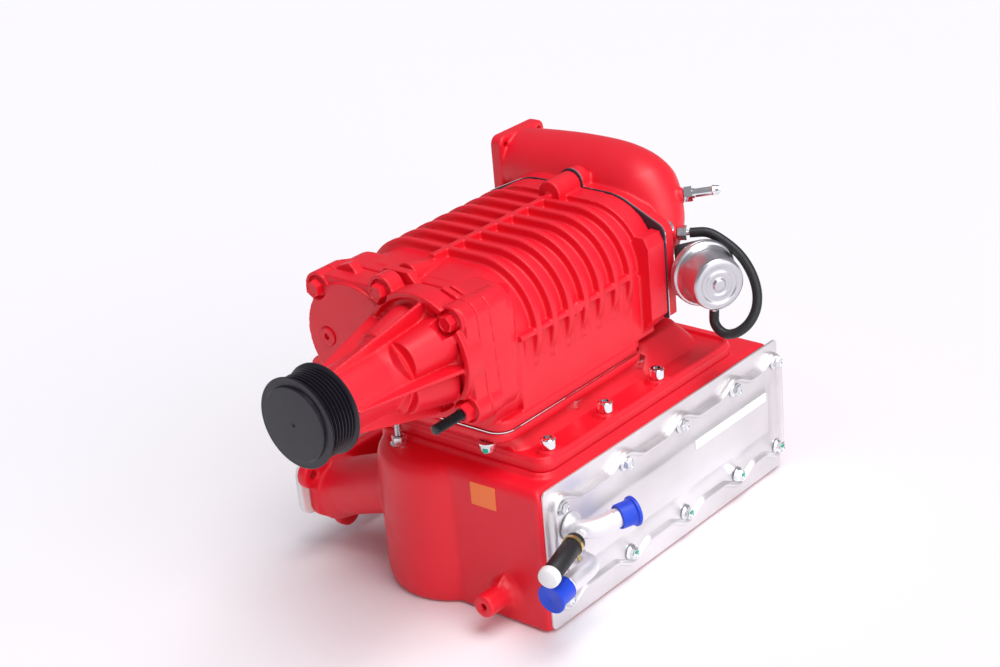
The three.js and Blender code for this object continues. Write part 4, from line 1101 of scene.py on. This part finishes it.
# ----- drive -----
def pulley():
    groove, grooves = 3.4, 8
    profile = [(0, 31.8), (8.9, 31.8), (12, 31.4), (12.4, 27), (29, 26), (30.5, 31), (31, 31.8),
               (36.6, 31.8), (37.5, 31.2), (37.5, 29.9), (37.1, 29.5)]
    for k in range(grooves):
        middle = 29.4 - (k + 0.5) * groove
        profile += [(32.2, middle + 0.3), (32.2, middle - 0.3)]
        profile += [(35, middle - groove / 2 + 0.25), (35, middle - groove / 2 - 0.25)]
    profile = profile[:-2]
    profile += [(37.1, 2.6), (37.5, 2.2), (37.5, 1.6), (37, 1.2), (31.6, 1.5), (31.1, 1.3),
                (30.9, -0.9), (30.2, -1.7), (29.4, -1.75), (2, -1.75), (1.2, -1.1), (0, -0.7)]
    wheel = turned(profile, (AXLE_X, PULLEY_FRONT_Y, AXLE_Z), -FRONT, 128)
    piece("belt_pulley", wheel, BLACK, ("pulley",), 28, DRIVE)


# ----- stickers and filler plug -----
def stickers():
    """Blank sticker on the box and blank strip on the cooler cover."""
    outline = rounded(57, 83.5, 103.5, 124, 0.8, 2)
    sticker = slab(outline, "y", BOX_FRONT_Y - 0.35, BOX_FRONT_Y + 0.4)
    piece("blank_sticker", sticker, ORANGE, (), 30)
    strip = slab(rounded(33, 143, 82.8, 91, 0.6, 2), "x", 137.2, 138.1)
    piece("blank_strip", strip, LABEL, ("blank_label",), 30)


def oil_plug():
    profile = [(0, 0), (7.6, 0), (8, 0.5), (8, 2.6), (7, 3.2), (3, 3.2), (3, 1), (0, 1)]
    plug = turned(profile, (OIL_PLUG_X, -191.4, OIL_PLUG_Z), FRONT, 48)
    piece("oil_filler_plug", plug, RED, ("oil_fill_plug",), 30)


# ----- assembly -----
def castings():
    """The painted castings, each with the frame node that it stands for."""
    for name, shape, node in (("cover_casting", front_cover, "front_cover"),
                              ("bearing_plate_casting", bearing_plate, "bearing_plate"),
                              ("ribbed_rotor_casting", rotor_housing, "rotor_housing"),
                              ("elbow_casting", inlet_elbow, "inlet_elbow"),
                              ("plenum_casting", upper_plenum, "upper_plenum"),
                              ("manifold_casting", cooler_housing, "cooler_housing")):
        piece(name, shape(), RED, (node,))


def cooler_sheets():
    header = header_plate()
    piece("cooler_header_sheet", header, SHEET, ("header_plate",), 30)
    cover = cooler_cover()
    piece("cooler_cover_pressing", cover, SHEET, ("cooler_cover",), 40)


def build():
    castings()
    piece("port_protector", port_cover(), WHITE, ("port_cover",))
    cooler_sheets()
    rear_gasket()
    base_gasket()
    cover_fasteners()
    lid_fasteners()
    elbow_fasteners()
    cooler_fasteners()
    paint_marks()
    pipes()
    caps()
    bleed()
    nipples()
    vacuum_line()
    actuator()
    pulley()
    stickers()
    oil_plug()


build()


def paint_frame_nodes():
    """Gives every node of the frame its finished material, for those that still show."""
    looks = {"bare_aluminium": SHEET, "steel": STEEL, "black_rubber": RUBBER, "red_paint": RED, "zinc": ZINC,
             "black_paint": BLACK, "dark_steel": DARK, "white_plastic": WHITE, "gasket": GASKET,
             "blue_plastic": BLUE, "label": LABEL}
    slots = {s["node"]: s["material_slot"] for s in frame["record"]["subparts"]}
    for name, node in frame["nodes"].items():
        for holder in node.material_slots:
            holder.material = looks[slots[name]]


paint_frame_nodes()


# ----- stage -----
def sun_light(name, source, strength, spread):
    """Large even light from a direction, as from a tent of white cloth."""
    data = bpy.data.lights.new(name, "SUN")
    data.energy = strength
    data.angle = math.radians(spread)
    light = bpy.data.objects.new(name, data)
    light.rotation_euler = Vector(source).to_track_quat("Z", "Y").to_euler()
    bpy.context.scene.collection.objects.link(light)


def stage():
    """White floor in metres, a pale world and two wide suns."""
    half = 9
    sheet = slab([(-half, -half), (half, -half), (half, half), (-half, half)], "z", -0.02, 0)
    floor = bpy.data.objects.new("floor", sheet)
    paper = new_material("white_sweep", (0.93, 0.92, 0.95), 0.7)
    floor.data.materials.append(paper)
    bpy.context.scene.collection.objects.link(floor)
    world = bpy.data.worlds.new("studio")
    world.use_nodes = True
    sky = world.node_tree.nodes["Background"]
    sky.inputs["Color"].default_value = (0.94, 0.92, 1.0, 1)
    sky.inputs["Strength"].default_value = 0.32
    bpy.context.scene.world = world
    sun_light("key_sun", (0.3, 0.0, 0.92), 2.0, 40)
    sun_light("side_sun", (0.9, -0.12, 0.4), 1.45, 60)
    view = bpy.context.scene.view_settings
    view.view_transform = "Standard"
    view.exposure = 0.0


stage()
